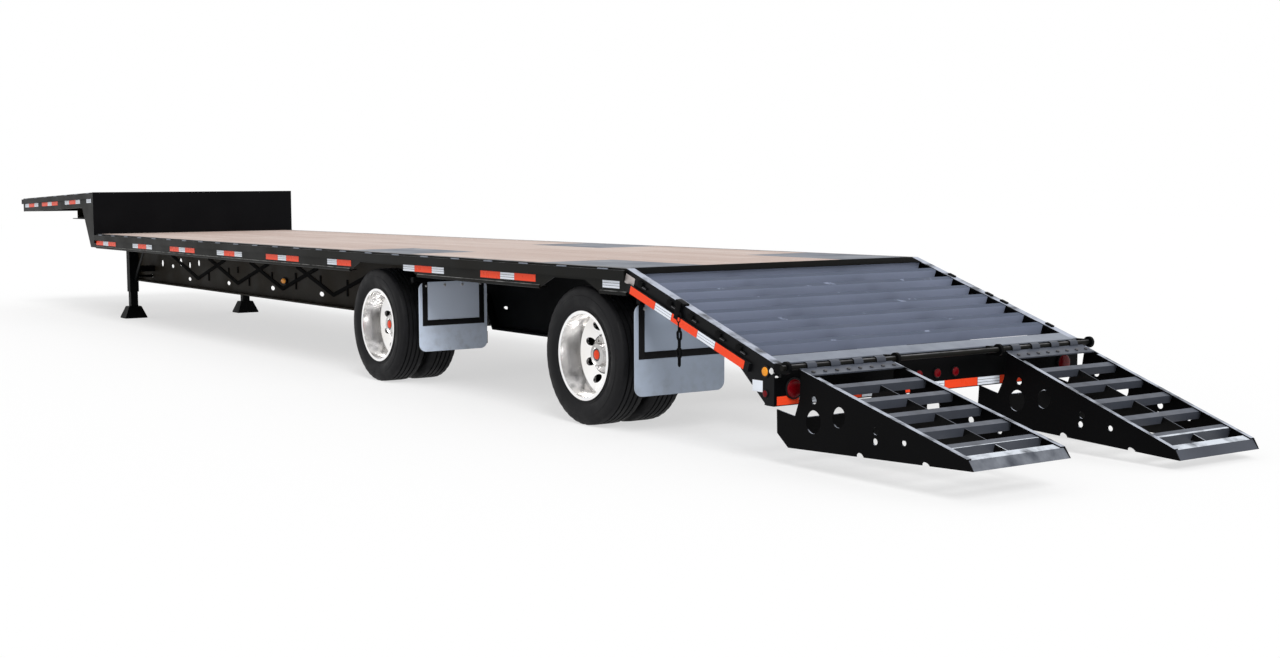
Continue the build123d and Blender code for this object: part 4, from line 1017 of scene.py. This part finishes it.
@dataclass
class Sheets:
    """Strips of red and white reflective sheeting on the sides and the tail."""

    datum: Datum
    height: float = 0.05
    thickness: float = 0.001
    red_length: float = 0.285
    white_length: float = 0.195
    end_gap: float = 0.003
    bar_gap: float = 0.0025
    rail_height: float = 0.96
    upper_drop: float = 0.1
    slope_drop: float = 0.103
    lengths: dict[Stripe, float] = field(init=False)
    # Runs along the main rail: distance ahead of the kink of the front end, order of the colours
    main_runs: tuple[tuple[float, str], ...] = (
        (11.27, "RWR"), (9.87, "WRW"), (8.6, "RWR"), (7.19, "WRW"), (5.91, "RWR"), (4.53, "WR"),
        (3.09, "WRW"), (1.86, "RWR"), (0.275, "W"))
    # Runs along the upper rail: distance behind the nose of the front end, order of the colours
    upper_runs: tuple[tuple[float, str], ...] = ((0.09, "WRW"), (0.95, "RWR"), (2.05, "WRW"), (3.0, "W"))
    # Stretches along the dovetail: colour, start and end behind the kink
    slope_runs: tuple[tuple[str, float, float], ...] = (
        ("R", 0.1, 0.38), ("W", 0.38, 0.557), ("R", 0.557, 0.828), ("W", 0.828, 1.005), ("R", 1.005, 1.29))
    tail_end: float = 1.25
    tail_start: float = 1.371
    tail_rise: float = 0.03

    def __post_init__(self) -> None:
        """Note each colour's length."""
        self.lengths = {Stripe.RED: self.red_length, Stripe.WHITE: self.white_length}

    def strip(self, form: Form, stripe: Stripe, start: float, end: float, y: float, z: float, sign: float,
              place: Optional[Matrix] = None) -> None:
        """Lay one strip on a side face, a white one as three bars.

        Args:
            form: The form that takes the strip.
            stripe: Its colour.
            start: One end along X.
            end: The other end along X.
            y: The face that it lies on.
            z: Height of its middle.
            sign: Which side it faces.
            place: Frame that these are given in.
        """
        along = (start + end) / 2
        length = abs(end - start) - self.end_gap
        out = y + sign * self.thickness / 2
        if stripe is Stripe.RED:
            form.bar((along, out, z), (length, self.thickness, self.height), RED_TAPE, edge=0.0, place=place)
            return
        bar = self.height / 3
        for row in (-1, 0, 1):
            size = (length, self.thickness, bar - self.bar_gap)
            form.bar((along, out, z + row * bar), size, WHITE_TAPE, edge=0.0, place=place)

    def sides(self) -> None:
        """Lay the strips along the rails and down the dovetail."""
        d = self.datum
        rails = ((self.main_runs, d.kink, self.rail_height, 1.0, None),
                 (self.upper_runs, d.nose - d.drop, -self.upper_drop, -1.0, d.on_upper()))
        for side, sign in SIDES:
            form = Form()
            for runs, origin, z, ahead, place in rails:
                for start, order in runs:
                    x = origin + ahead * start
                    for stripe in map(Stripe, order):
                        self.strip(form, stripe, x, x - self.lengths[stripe], sign * d.face, z, sign, place)
                        x -= self.lengths[stripe]
            y = sign * max(abs(corner.y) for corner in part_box(f"dovetail_side_{side}"))
            for letter, start, end in self.slope_runs:
                self.strip(form, Stripe(letter), -start, -end, y, -self.slope_drop, sign, d.on_slope())
            form.piece(f"side_sheeting_{side}", CHASSIS)

    def tail(self) -> None:
        """Lay the run of strips across the rear frame."""
        d = self.datum
        form = Form()
        turn = Matrix.Translation((d.rear_face, 0.0, 0.0)) @ Matrix.Rotation(math.radians(90), 4, "Z")
        y = self.tail_start
        while y > -self.tail_end:
            for stripe in Stripe:
                start = min(y, self.tail_end)
                y -= self.lengths[stripe]
                end = max(y, -self.tail_end)
                if start > end:
                    self.strip(form, stripe, start, end, 0.0, d.rear_low + self.tail_rise, 1.0, turn)
        form.piece("tail_sheeting", CHASSIS)

    def build(self) -> None:
        """Lay all the sheeting."""
        self.sides()
        self.tail()


@dataclass
class Lamps:
    """Domed lenses in rubber rings, in the places of the plain lamp solids."""

    datum: Datum
    steps: int = 36
    dome_steps: int = 6
    # Heights as shares of a lamp's depth: seat of the lens, foot of its dome
    seat: float = 0.3
    brim: float = 0.6
    # Section of the ring as shares of a lamp's radius and depth
    ring: Section = ((1.0, 0.0), (1.0, 0.5), (0.95, 0.62))
    ring_inside: float = 0.55
    # Share of the radius that the lens takes
    share: float = 0.86
    amber_share: float = 0.74
    # Rear lamps: node, shares of the reach from the middle, width of the grommet
    rear: tuple[tuple[str, tuple[int, ...], float], ...] = (
        ("tail_lamps", (1, -1), 0.007), ("small_lamps", (-1, 0, 1), 0.0))
    # Side lamps: distance ahead of the kink, side face, height, radius, depth, length over height
    amber: tuple[tuple[float, ...], ...] = (
        (-1.36, 1.27, 0.538, 0.035, 0.014, 1.0), (7.321, 0.488, 0.64, 0.036, 0.03, 2.2))
    marker: tuple[tuple[float, ...], ...] = ((-1.359, 1.27, 0.412, 0.022, 0.012, 1.0),)

    def lamp(self, form: Form, place: Matrix, radius: float, depth: float, lens: Finish,
             share: float) -> None:
        """Add one lens with its ring.

        Args:
            form: The form that takes it.
            place: Frame on the mounting face, whose Z is the direction that it shines in.
            radius: Radius of the ring.
            depth: How far it stands out.
            lens: Finish of the lens.
            share: Part of the radius that the lens takes.
        """
        inner = share * radius
        ring = [(wide * radius, high * depth) for wide, high in self.ring]
        ring += [(inner, self.ring_inside * depth), (inner, self.seat * depth)]
        form.turned(ring, BAND_RUBBER, place, self.steps)
        brim = self.brim * depth
        profile = [(inner, self.seat * depth), (inner, brim)]
        for k in range(1, self.dome_steps):
            turn = 0.5 * math.pi * k / self.dome_steps
            profile.append((inner * math.cos(turn), brim + (depth - brim) * math.sin(turn)))
        form.turned(profile + [(0.0, depth)], lens, place, self.steps)

    def build(self) -> None:
        """Build the lamps of each kind, most of them in place of their solids."""
        for node, shares, grommet in self.rear:
            low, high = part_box(node)
            radius = (high.z - low.z) / 2
            form = Form()
            for reach in shares:
                place = facing((high.x, reach * (high.y - radius), low.z + radius), (-1, 0, 0))
                self.lamp(form, place, radius + grommet, high.x - low.x, RED_LENS, self.share)
            form.piece(f"{node.removesuffix('s')}_lenses", CHASSIS, replaces=[node])
        for name, rows, lens, share, nodes in (
                ("amber_lamp_lenses", self.amber, AMBER_LENS, self.amber_share, ["amber_lamps"]),
                ("marker_lenses", self.marker, RED_LENS, self.share, [])):
            form = Form()
            for _, sign in SIDES:
                for ahead, face, height, radius, depth, drawn in rows:
                    place = facing((self.datum.kink + ahead, sign * face, height), (0, sign, 0))
                    place = place @ Matrix.Diagonal((drawn, 1.0, 1.0, 1.0))
                    self.lamp(form, place, radius, depth, lens, share)
            form.piece(name, CHASSIS, replaces=nodes)


@dataclass
class Wheels:
    """Treaded tyres, wheel nuts and hub caps at the four corners."""

    datum: Datum
    dual_spacing: float = 0.286
    tyre_width: float = 0.25
    tread_width: float = 0.196
    bead_radius: float = 0.2925
    bead_half: float = 0.095
    # Sidewall from the bead: rise over the bead, reach past the bead's half width
    bead: Section = ((0.0, -0.012), (0.002, 0.0), (0.012, 0.006), (0.026, 0.012), (0.03, 0.01))
    # Bulge of the sidewall: rise over the bead, inset from the tyre's half width
    bulge: Section = ((0.06, 0.004), (0.085, 0.0), (0.108, 0.001), (0.111, 0.004), (0.128, 0.006))
    # Shoulder: drop under the crown, inset from the tyre's half width
    shoulder: Section = ((0.026, 0.009), (0.016, 0.016), (0.006, 0.021), (0.002, 0.027))
    groove_depth: float = 0.012
    groove_mouth: float = 0.013
    groove_floor: float = 0.007
    groove_places: tuple[float, ...] = (-0.058, -0.02, 0.02, 0.058)
    steps: int = 120
    # Notches across the shoulder: steps from one to the next, reach down and inward, share cut away
    notch_steps: int = 3
    notch_drop: float = 0.018
    notch_inset: float = 0.012
    notch_share: float = 0.006
    nut_count: int = 10
    nut_circle: float = 0.1429
    disc_thickness: float = 0.013
    # Washer and stud: radius and height over the disc
    washer: Section = ((0.0, 0.006), (0.019, 0.006), (0.0235, 0.0), (0.0, 0.0))
    stud: Section = ((0.0, 0.046), (0.008, 0.046), (0.0105, 0.043), (0.0105, 0.0))
    nut_size: tuple[float, float] = (0.0165, 0.026)
    hub_face: float = 0.085
    # Rings of the hub cap: finish, steps round, points of radius and height over the hub's face
    cap_rings: tuple[tuple[Finish, int, Section], ...] = (
        (HUB_METAL, 40, ((0.123, 0.0005), (0.123, 0.006), (0.116, 0.011), (0.088, 0.014), (0.084, 0.018),
                         (0.078, 0.051), (0.072, 0.058), (0.046, 0.061), (0.043, 0.058))),
        (DARK_STEEL, 40, ((0.131, 0.0), (0.131, 0.004), (0.122, 0.005))),
        (DARK_STEEL, 32, ((0.043, 0.058), (0.034, 0.059), (0.032, 0.056))),
        (RED_TAPE, 32, ((0.033, 0.056), (0.03, 0.061), (0.018, 0.064), (0.0, 0.065))))
    cap_bolt_count: int = 6
    cap_bolt_circle: float = 0.102
    cap_bolt_seat: float = 0.011
    cap_bolt_size: tuple[float, float] = (0.009, 0.007)

    def tyre_profile(self) -> list[tuple[float, float]]:
        """Draw the tyre's outer half section from one bead to the other.

        Returns:
            Points of radius and distance across the tyre.
        """
        outer = self.datum.wheel_radius
        half = self.tyre_width / 2
        side = [(self.bead_radius + rise, self.bead_half + reach) for rise, reach in self.bead]
        side += [(self.bead_radius + rise, half - inset) for rise, inset in self.bulge]
        side += [(outer - drop, half - inset) for drop, inset in self.shoulder]
        mouth, floor, deep = self.groove_mouth / 2, self.groove_floor / 2, outer - self.groove_depth
        crown = []
        for place in reversed(self.groove_places):
            crown += [(outer, place + mouth), (deep, place + floor)]
            crown += [(deep, place - floor), (outer, place - mouth)]
        return side + crown + [(radius, -across) for radius, across in reversed(side)]

    def build_tyres(self, corner: str, centre: Vector) -> None:
        """Build a corner's pair of tyres.

        Args:
            corner: Name of the corner.
            centre: Middle of the pair.
        """
        form = Form()
        outer = self.datum.wheel_radius
        edge = self.tread_width / 2 - self.notch_inset
        shrink = 1 - self.notch_share
        for step in (-0.5, 0.5):
            place = facing(centre + Vector((0.0, step * self.dual_spacing, 0.0)), (0, 1, 0))
            rings = form.turned(self.tyre_profile(), TYRE, place, self.steps)
            back = place.inverted()
            for vert in (vert for ring in rings[::self.notch_steps] for vert in ring):
                local = back @ vert.co
                if math.hypot(local.x, local.y) > outer - self.notch_drop and abs(local.z) > edge:
                    vert.co = place @ Vector((local.x * shrink, local.y * shrink, local.z))
        form.piece(f"treaded_tyres_{corner}", f"wheel_{corner}", smooth=35.0, replaces=[f"tyres_{corner}"])

    def build_hub(self, corner: str, centre: Vector, sign: float) -> None:
        """Build a corner's wheel nuts and hub cap.

        Args:
            corner: Name of the corner.
            centre: Middle of the pair of wheels.
            sign: Which side it faces.
        """
        form = Form()
        outward = facing(centre, (0, sign, 0))
        washer_top = Matrix.Translation((0.0, 0.0, self.washer[0][1]))
        for seat in around(outward, self.nut_circle, self.disc_thickness, self.nut_count, 0.5):
            form.turned(self.washer, DARK_STEEL, seat, steps=16)
            form.nut(seat @ washer_top, *self.nut_size, CHROME)
            form.turned(self.stud, BARE_STEEL, seat, steps=12)
        cap = outward @ Matrix.Translation((0.0, 0.0, self.hub_face))
        for finish, steps, section in self.cap_rings:
            form.turned(section, finish, cap, steps)
        for seat in around(cap, self.cap_bolt_circle, self.cap_bolt_seat, self.cap_bolt_count):
            form.nut(seat, *self.cap_bolt_size, BARE_STEEL)
        form.piece(f"hub_cap_{corner}", f"wheel_{corner}")

    def build(self) -> None:
        """Build all four corners."""
        d = self.datum
        for place, x in d.axles.items():
            for side, sign in SIDES:
                centre = Vector((x, sign * d.dual_y, d.wheel_radius))
                self.build_tyres(f"{place}_{side}", centre)
                self.build_hub(f"{place}_{side}", centre, sign)


@dataclass
class Flaps:
    """Black bands and hanger bolts on the mud flaps."""

    datum: Datum
    inset: float = 0.028
    band: float = 0.046
    band_low: float = 0.495
    thickness: float = 0.003
    # Edges of the flaps, one row an axle: place, inner edge, outer edge
    edges: tuple[tuple[str, float, float], ...] = (("front", 0.575, 1.192), ("rear", 0.566, 1.28))
    # Bolts: places as shares of the flap's width, drop under its top, half width and height
    bolt_shares: tuple[float, ...] = (-0.4, -0.13, 0.13, 0.4)
    bolt_drop: float = 0.03
    bolt_size: tuple[float, float] = (0.011, 0.008)

    def build(self) -> None:
        """Build the bands on the rear faces of the flaps."""
        low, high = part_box("mud_flaps")
        axles = self.datum.axles
        tall = high.z - self.band_low
        form = Form()
        for place, flap_inner, flap_outer in self.edges:
            x = low.x + axles[place] - axles["rear"]
            out = x - self.thickness / 2
            for _, sign in SIDES:
                outer = sign * (flap_outer - self.inset - self.band / 2)
                inner = sign * (flap_inner + self.inset + self.band / 2)
                centre = (outer + inner) / 2
                upright = (self.thickness, self.band, tall)
                for y in (outer, inner):
                    form.bar((out, y, self.band_low + tall / 2), upright, BAND_RUBBER)
                foot = (self.thickness, abs(outer - inner) - self.band, self.band)
                form.bar((out, centre, self.band_low + self.band / 2), foot, BAND_RUBBER)
                for share in self.bolt_shares:
                    y = centre + share * (flap_outer - flap_inner)
                    form.nut(facing((x, y, high.z - self.bolt_drop), (-1, 0, 0)), *self.bolt_size, BARE_STEEL)
        form.piece("flap_bands", CHASSIS)


@dataclass
class AirSprings:
    """Bellows in place of the plain air-spring solids."""

    datum: Datum
    setback: float = 0.3
    track_half: float = 0.483
    plate_share: float = 0.8
    plate_thickness: float = 0.02
    # Bellows as shares of the radius: neck, waist
    neck: float = 0.74
    waist: float = 0.78
    lobe_steps: int = 8

    def build(self) -> None:
        """Build the four bellows."""
        low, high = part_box("air_springs")
        radius = (high.y - low.y) / 2 - self.track_half
        tall = high.z - low.z
        thick = self.plate_thickness
        plate = self.plate_share * radius
        profile = [(self.neck * radius, thick)]
        for lobe in (0, 1):
            for k in range(1, self.lobe_steps):
                share = k / self.lobe_steps
                swell = self.waist + (1.0 - self.waist) * math.sin(math.pi * share)
                profile.append((radius * swell, thick + (tall - 2 * thick) * (lobe + share) / 2))
        profile.append((self.neck * radius, tall - thick))
        form = Form()
        for axle in self.datum.axles.values():
            for _, sign in SIDES:
                place = Matrix.Translation((axle - self.setback, sign * (high.y - radius), low.z))
                for outside, inside in ((0.0, thick), (tall, tall - thick)):
                    section = [(0.0, outside), (plate, outside), (plate, inside), (0.0, inside)]
                    form.turned(section, BLACK, place)
                form.turned(profile, BELLOWS, place, steps=36)
        form.piece("bellows", CHASSIS, smooth=50.0, replaces=["air_springs"])


@dataclass
class Dovetail:
    """Hanging chain, latches and plain plates on the dovetail's sides."""

    datum: Datum
    link_length: float = 0.07
    link_width: float = 0.05
    wire: float = 0.0085
    link_count: int = 6
    link_points: int = 16
    link_turn: float = 0.12
    chain_run: float = 0.6
    chain_y: float = 1.2845
    chain_drop: float = 0.085
    # Bars that carry the chain: distance from the middle, height over the slope, size, eased edge
    hook: tuple[tuple[float, float, Point, float], ...] = (
        (1.262, 0.006, (0.085, 0.045, 0.016), 0.004), (1.2855, -0.045, (0.045, 0.012, 0.11), 0.003))
    latch_runs: tuple[float, ...] = (0.18, 0.5, 0.72, 1.0, 1.2)
    latch_out: float = 0.008
    # Bars of a latch: distance behind its place, height over the slope, size, finish
    latch: tuple[tuple[float, float, Point, Finish], ...] = (
        (0.0, -0.034, (0.05, 0.014, 0.03), BLACK), (0.04, -0.046, (0.06, 0.01, 0.012), DARK_STEEL))
    lug_runs: tuple[float, ...] = (0.38, 0.74, 0.88, 1.29)
    lug_inset: float = 0.03
    lug_size: Point = (0.06, 0.024, 0.012)
    edge: float = 0.003
    strip_length: float = 0.1
    strip_gap: float = 0.003
    strip_thickness: float = 0.003
    strip_height: float = 0.001
    plate_edge: float = 0.0008
    # Blank plate behind the kink and blank label: distance ahead of the kink, height, size
    plate: tuple[float, float, Point] = (-0.055, -0.06, (0.1, 0.002, 0.06))
    label: tuple[float, float, Point] = (-1.289, 0.45, (0.09, 0.002, 0.066))
    # Pin end: distance ahead of the kink, height, points of radius and reach
    pin: tuple[float, float, Section] = (
        -1.417, 0.545, ((0.0, 0.014), (0.013, 0.014), (0.019, 0.009), (0.019, 0.0)))

    def chain(self) -> None:
        """Hang a short chain from the left side."""
        form = Form()
        place = self.datum.on_slope()
        top = place @ Vector((-self.chain_run, self.chain_y, 0.0))
        for y, z, size, edge in self.hook:
            form.bar((-self.chain_run, y, z), size, BLACK, edge, place)
        bend = self.link_width / 2 - self.wire
        straight = (self.link_length - self.link_width) / 2
        for index in range(self.link_count):
            height = top.z - self.chain_drop - index * (self.link_length - 2 * self.wire)
            points = []
            for k in range(self.link_points):
                turn = 2.0 * math.pi * k / self.link_points
                rise = math.sin(turn) * bend
                rise += math.copysign(straight, rise)
                across = math.cos(turn) * bend
                x, y = (0.0, self.link_turn * across) if index % 2 else (across, 0.0)
                points.append((top.x + x, self.chain_y + y, height + rise))
            form.link(points, self.wire, BLACK)
        form.piece("hanging_chain", CHASSIS)

    def latches(self) -> None:
        """Set hooked latches in the slot under the top flange and lugs on the right flange."""
        d = self.datum
        slope = d.on_slope()
        for side, sign in SIDES:
            form = Form()
            for run in self.latch_runs:
                for back, z, size, finish in self.latch:
                    centre = (-run - back, sign * (d.face + self.latch_out), z)
                    form.bar(centre, size, finish, self.edge, slope)
            for run in self.lug_runs if side == "right" else ():
                centre = (-run, sign * (d.face - self.lug_inset), self.lug_size[2] / 2)
                form.bar(centre, self.lug_size, BLACK, self.edge, slope)
            form.piece(f"slot_latches_{side}", CHASSIS)

    def plates(self) -> None:
        """Lay the black strip across the kink and the blank plates and pin ends on the sides."""
        d = self.datum
        slope = d.on_slope()
        form = Form()
        low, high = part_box("dovetail_bars")
        centre = (-self.strip_length / 2 - self.strip_gap, 0.0, self.strip_height)
        size = (self.strip_length, high.y - low.y, self.strip_thickness)
        form.bar(centre, size, BRACE_BLACK, self.plate_edge, slope)
        form.piece("kink_strip", CHASSIS)
        level = Matrix.Translation((d.kink, 0.0, 0.0))
        rows = ((self.plate, BLANK_PLATE, slope), (self.label, WHITE_TAPE, level))
        for side, sign in SIDES:
            form = Form()
            for (ahead, z, size), finish, place in rows:
                form.bar((ahead, sign * (d.face + size[1] / 2), z), size, finish, self.plate_edge, place)
            ahead, z, section = self.pin
            seat = facing((d.kink + ahead, sign * d.face, z), (0, sign, 0))
            form.turned(section, CHROME, seat, steps=20)
            form.piece(f"blank_plates_{side}", CHASSIS)

    def build(self) -> None:
        """Build the dovetail's fittings."""
        self.chain()
        self.latches()
        self.plates()


@dataclass
class Ramps:
    """Bolts on the hinge leaves of the two ramps."""

    datum: Datum
    # Angles below level at rest
    rests: tuple[tuple[str, float], ...] = (("left", 15.0), ("right", 20.0))
    leaf_top: float = -0.004
    bolt_reach: float = 0.085
    bolt_count: int = 8
    bolt_size: tuple[float, float] = (0.012, 0.009)

    def build(self) -> None:
        """Set a row of bolts along each leaf."""
        for side, angle in self.rests:
            low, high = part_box(f"ramp_hinge_{side}")
            x, _, z = self.datum.hinge
            place = Matrix.Translation((x, 0.0, z)) @ Matrix.Rotation(-math.radians(angle), 4, "Y")
            form = Form()
            for k in range(self.bolt_count):
                y = low.y + (k + 0.5) * (high.y - low.y) / self.bolt_count
                seat = place @ Matrix.Translation((-self.bolt_reach, y, self.leaf_top))
                form.nut(seat, *self.bolt_size, DARK_STEEL)
            form.piece(f"leaf_bolts_{side}", f"ramp_{side}")


@dataclass
class SpoolHighlights:
    """Pale bars over the spools along the rub rails, as painted highlights."""

    datum: Datum
    pitch: float = 0.47
    length: float = 0.11
    height: float = 0.008
    bar_drop: float = 0.012
    bar_thickness: float = 0.012
    play: float = 0.001

    def build(self) -> None:
        """Set a pale bar on the rub rail over each spool, as a painted highlight."""
        form = Form()
        out = self.datum.half_width - self.bar_thickness / 2
        size = (self.length, self.bar_thickness - self.play, self.height)
        for length, place in self.datum.decks():
            count = int(length // self.pitch)
            for index in range(count):
                for _, sign in SIDES:
                    centre = ((index + 0.5) * length / count, sign * out, self.height / 2 - self.bar_drop)
                    # Painted highlight over a spool
                    form.bar(centre, size, EDGE_GREY, edge=0.002, place=place)
        form.piece("painted_spool_highlights", CHASSIS)


@dataclass
class DeckFasteners:
    """Screw heads along the crossmembers."""

    datum: Datum
    # Rows of screws on the main deck and on the upper deck
    rows: tuple[int, int] = (20, 5)
    boards: int = 12
    shares: tuple[float, float] = (0.25, 0.75)
    head: Section = ((0.0, 0.0006), (0.007, 0.0003), (0.0075, -0.001))
    # Steel covers, which have no screws: half length and inner edge
    cover_half: float = 0.57
    cover_inner: float = 0.6

    def build(self) -> None:
        """Set two screws a board on each crossmember."""
        d = self.datum
        low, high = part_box("main_deck")
        pitch = (high.y - low.y) / self.boards
        form = Form()
        for (length, place), rows in zip(d.decks(), self.rows):
            for row in range(rows):
                x = (row + 0.5) * length / rows
                covered = any(abs((place @ Vector((x, 0.0, 0.0))).x - axle) < self.cover_half
                              for axle in d.axles.values())
                for board in range(self.boards):
                    for share in self.shares:
                        y = low.y + (board + share) * pitch
                        if not (covered and abs(y) > self.cover_inner):
                            seat = place @ Matrix.Translation((x, y, 0.0))
                            form.turned(self.head, BARE_STEEL, seat, steps=6)
        form.piece("deck_screws", CHASSIS)


@dataclass
class Dressing:
    """Finish of every CAD solid."""

    # Finish, then the nodes that take it
    rows: tuple[tuple[Finish, str], ...] = (
        (BLACK, "crossmembers nose_bolster coupler_plate landing_leg_left landing_leg_right landing_bracing"),
        (BLACK, "axle_front axle_rear suspension_hangers trailing_arms brake_chambers air_tank flap_bars"),
        (BLACK, "rear_frame hinge_lugs"),
        (SUNLIT_WEB_BROWN, "main_beams"),
        (BRACE_BLACK, "web_braces deck_header"),
        (LIP_BLACK, "side_rail_left side_rail_right"),
        (RAIL_BLACK, "upper_rail_left upper_rail_right rub_rails neck_sides hinge_rod"),
        (WOOD, "main_deck upper_deck"),
        (COVER_GREY, "wheel_covers"),
        (GLOSS_BLACK, "drop_plate"),
        (BARE_STEEL, "kingpin landing_crank"),
        (BELLOWS, "air_springs"),
        (FLAP, "mud_flaps"),
        (SLOPE_BLACK, "dovetail_side_left dovetail_side_right"),
        (TREAD_GREY, "dovetail_bars"),
        (EDGE_GREY, "dovetail_lip"),
        (RED_LENS, "tail_lamps small_lamps"),
        (AMBER_LENS, "amber_lamps"),
        (EDGED_BLACK, "ramp_sides_left ramp_sides_right"),
        (RAMP_GREYS["left"], "ramp_treads_left ramp_hinge_left"),
        (RAMP_GREYS["right"], "ramp_treads_right ramp_hinge_right"))
    wheel_rows: tuple[tuple[Finish, str], ...] = ((TYRE, "tyres"), (POLISHED, "rims"), (CAST, "hub"))

    def build(self) -> None:
        """Put each finish on its solids, wheels included."""
        finishes = {node: finish for finish, nodes in self.rows for node in nodes.split()}
        for finish, kind in self.wheel_rows:
            finishes.update({f"{kind}_{place}_{side}": finish for place in PLACES for side, _ in SIDES})
        for node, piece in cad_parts.items():
            piece.data.materials.clear()
            piece.data.materials.append(finishes[node].material())
            LOG.info("%s takes %s", node, finishes[node].name)


@dataclass
class Studio:
    """Pale floor, soft light and the camera."""

    floor_size: float = 120.0
    floor_colour: Colour = (0.9, 0.9, 0.9)
    floor_glow: float = 0.6
    sky_strength: float = 0.9
    key_strength: float = 1.9
    key_spread: float = 25.0
    key_direction: Point = (0.75, -0.28, -0.7)
    # Camera: its place, its angles in radians and the photograph's frame in pixels
    eye: Point = (-14.2161, 7.0953, 1.5688)
    yaw: float = -0.5691
    pitch: float = -0.08667
    roll: float = -0.00747
    focal_pixels: float = 1608.1
    picture_width: float = 1280.0
    centre_x: float = 560.0
    sensor_width: float = 36.0
    far_end: float = 400.0

    @staticmethod
    def split(graph: Graph, sink: str, lit: NodeSocket, seen: NodeSocket, share: float) -> None:
        """Give the camera, reflections and clear pieces another shader than the light.

        Args:
            graph: The node tree.
            sink: Kind of its output node.
            lit: Shader that takes part in the lighting.
            seen: Shader that is seen.
            share: How much of the seen shader shows.
        """
        path = graph.node("LightPath").outputs
        mask = graph.math("MAXIMUM", path["Is Camera Ray"], path["Is Glossy Ray"])
        mask = graph.math("MAXIMUM", mask, path["Is Transmission Ray"])
        blend = graph.node("MixShader", {"Fac": graph.math("MULTIPLY", mask, share), 1: lit, 2: seen})
        graph.node(sink, {"Surface": blend.outputs["Shader"]})

    def floor(self) -> None:
        """Lay the floor, white where it is seen but holding the shadow."""
        mesh = bpy.data.meshes.new("floor")
        half = self.floor_size / 2
        corners = [(-half, -half, 0), (half, -half, 0), (half, half, 0), (-half, half, 0)]
        mesh.from_pydata(corners, [], [(0, 1, 2, 3)])
        floor = bpy.data.objects.new("floor", mesh)
        bpy.context.scene.collection.objects.link(floor)
        material = bpy.data.materials.new("floor_paper")
        material.use_nodes = True
        graph = Graph(material.node_tree)
        graph.tree.nodes.clear()
        paper = graph.node("BsdfDiffuse", {"Color": self.floor_colour}).outputs["BSDF"]
        white = graph.node("Emission", {"Color": (1.0, 1.0, 1.0)}).outputs["Emission"]
        self.split(graph, "OutputMaterial", paper, white, self.floor_glow)
        mesh.materials.append(material)

    def sky(self) -> None:
        """Light from all round, white where the camera or a reflection sees it."""
        world = bpy.data.worlds.new("studio")
        bpy.context.scene.world = world
        world.use_nodes = True
        graph = Graph(world.node_tree)
        graph.tree.nodes.clear()
        soft = graph.node("Background", {"Strength": self.sky_strength}).outputs["Background"]
        white = graph.node("Background", {"Color": (1.0, 1.0, 1.0)}).outputs["Background"]
        self.split(graph, "OutputWorld", soft, white, 1.0)

    def key_light(self) -> None:
        """Hang a broad key light over the left rear."""
        light = bpy.data.lights.new("key", "SUN")
        light.energy = self.key_strength
        light.angle = math.radians(self.key_spread)
        key = bpy.data.objects.new("key", light)
        key.rotation_euler = Vector(self.key_direction).to_track_quat("-Z", "Y").to_euler()
        bpy.context.scene.collection.objects.link(key)

    def camera(self) -> None:
        """Stand the camera where the photograph was taken from."""
        level = math.cos(self.pitch)
        ahead = Vector((math.cos(self.yaw) * level, math.sin(self.yaw) * level, math.sin(self.pitch)))
        right = Vector((math.sin(self.yaw), -math.cos(self.yaw), 0.0))
        up = right.cross(ahead)
        across = right * math.cos(self.roll) + up * math.sin(self.roll)
        over = up * math.cos(self.roll) - right * math.sin(self.roll)
        data = bpy.data.cameras.new("camera")
        data.sensor_fit = "HORIZONTAL"
        data.sensor_width = self.sensor_width
        data.lens = self.focal_pixels / self.picture_width * data.sensor_width
        data.shift_x = (self.picture_width / 2 - self.centre_x) / self.picture_width
        data.clip_end = self.far_end
        camera = bpy.data.objects.new("camera", data)
        turn = Matrix((across, over, -ahead)).transposed().to_4x4()
        camera.matrix_world = Matrix.Translation(self.eye) @ turn
        bpy.context.scene.collection.objects.link(camera)
        bpy.context.scene.camera = camera

    def build(self) -> None:
        """Set up the studio."""
        bpy.context.scene.view_settings.view_transform = "Standard"
        self.floor()
        self.sky()
        self.key_light()
        self.camera()


def main() -> None:
    """Dress the frame, add the fittings and set up the studio."""
    logging.basicConfig(level=logging.INFO, format="%(message)s")
    datum = Datum.read()
    Dressing().build()
    for kind in (Sheets, Lamps, Wheels, Flaps, AirSprings, Dovetail, Ramps, SpoolHighlights, DeckFasteners):
        kind(datum).build()
    Studio().build()


if __name__ == "__main__":
    main()
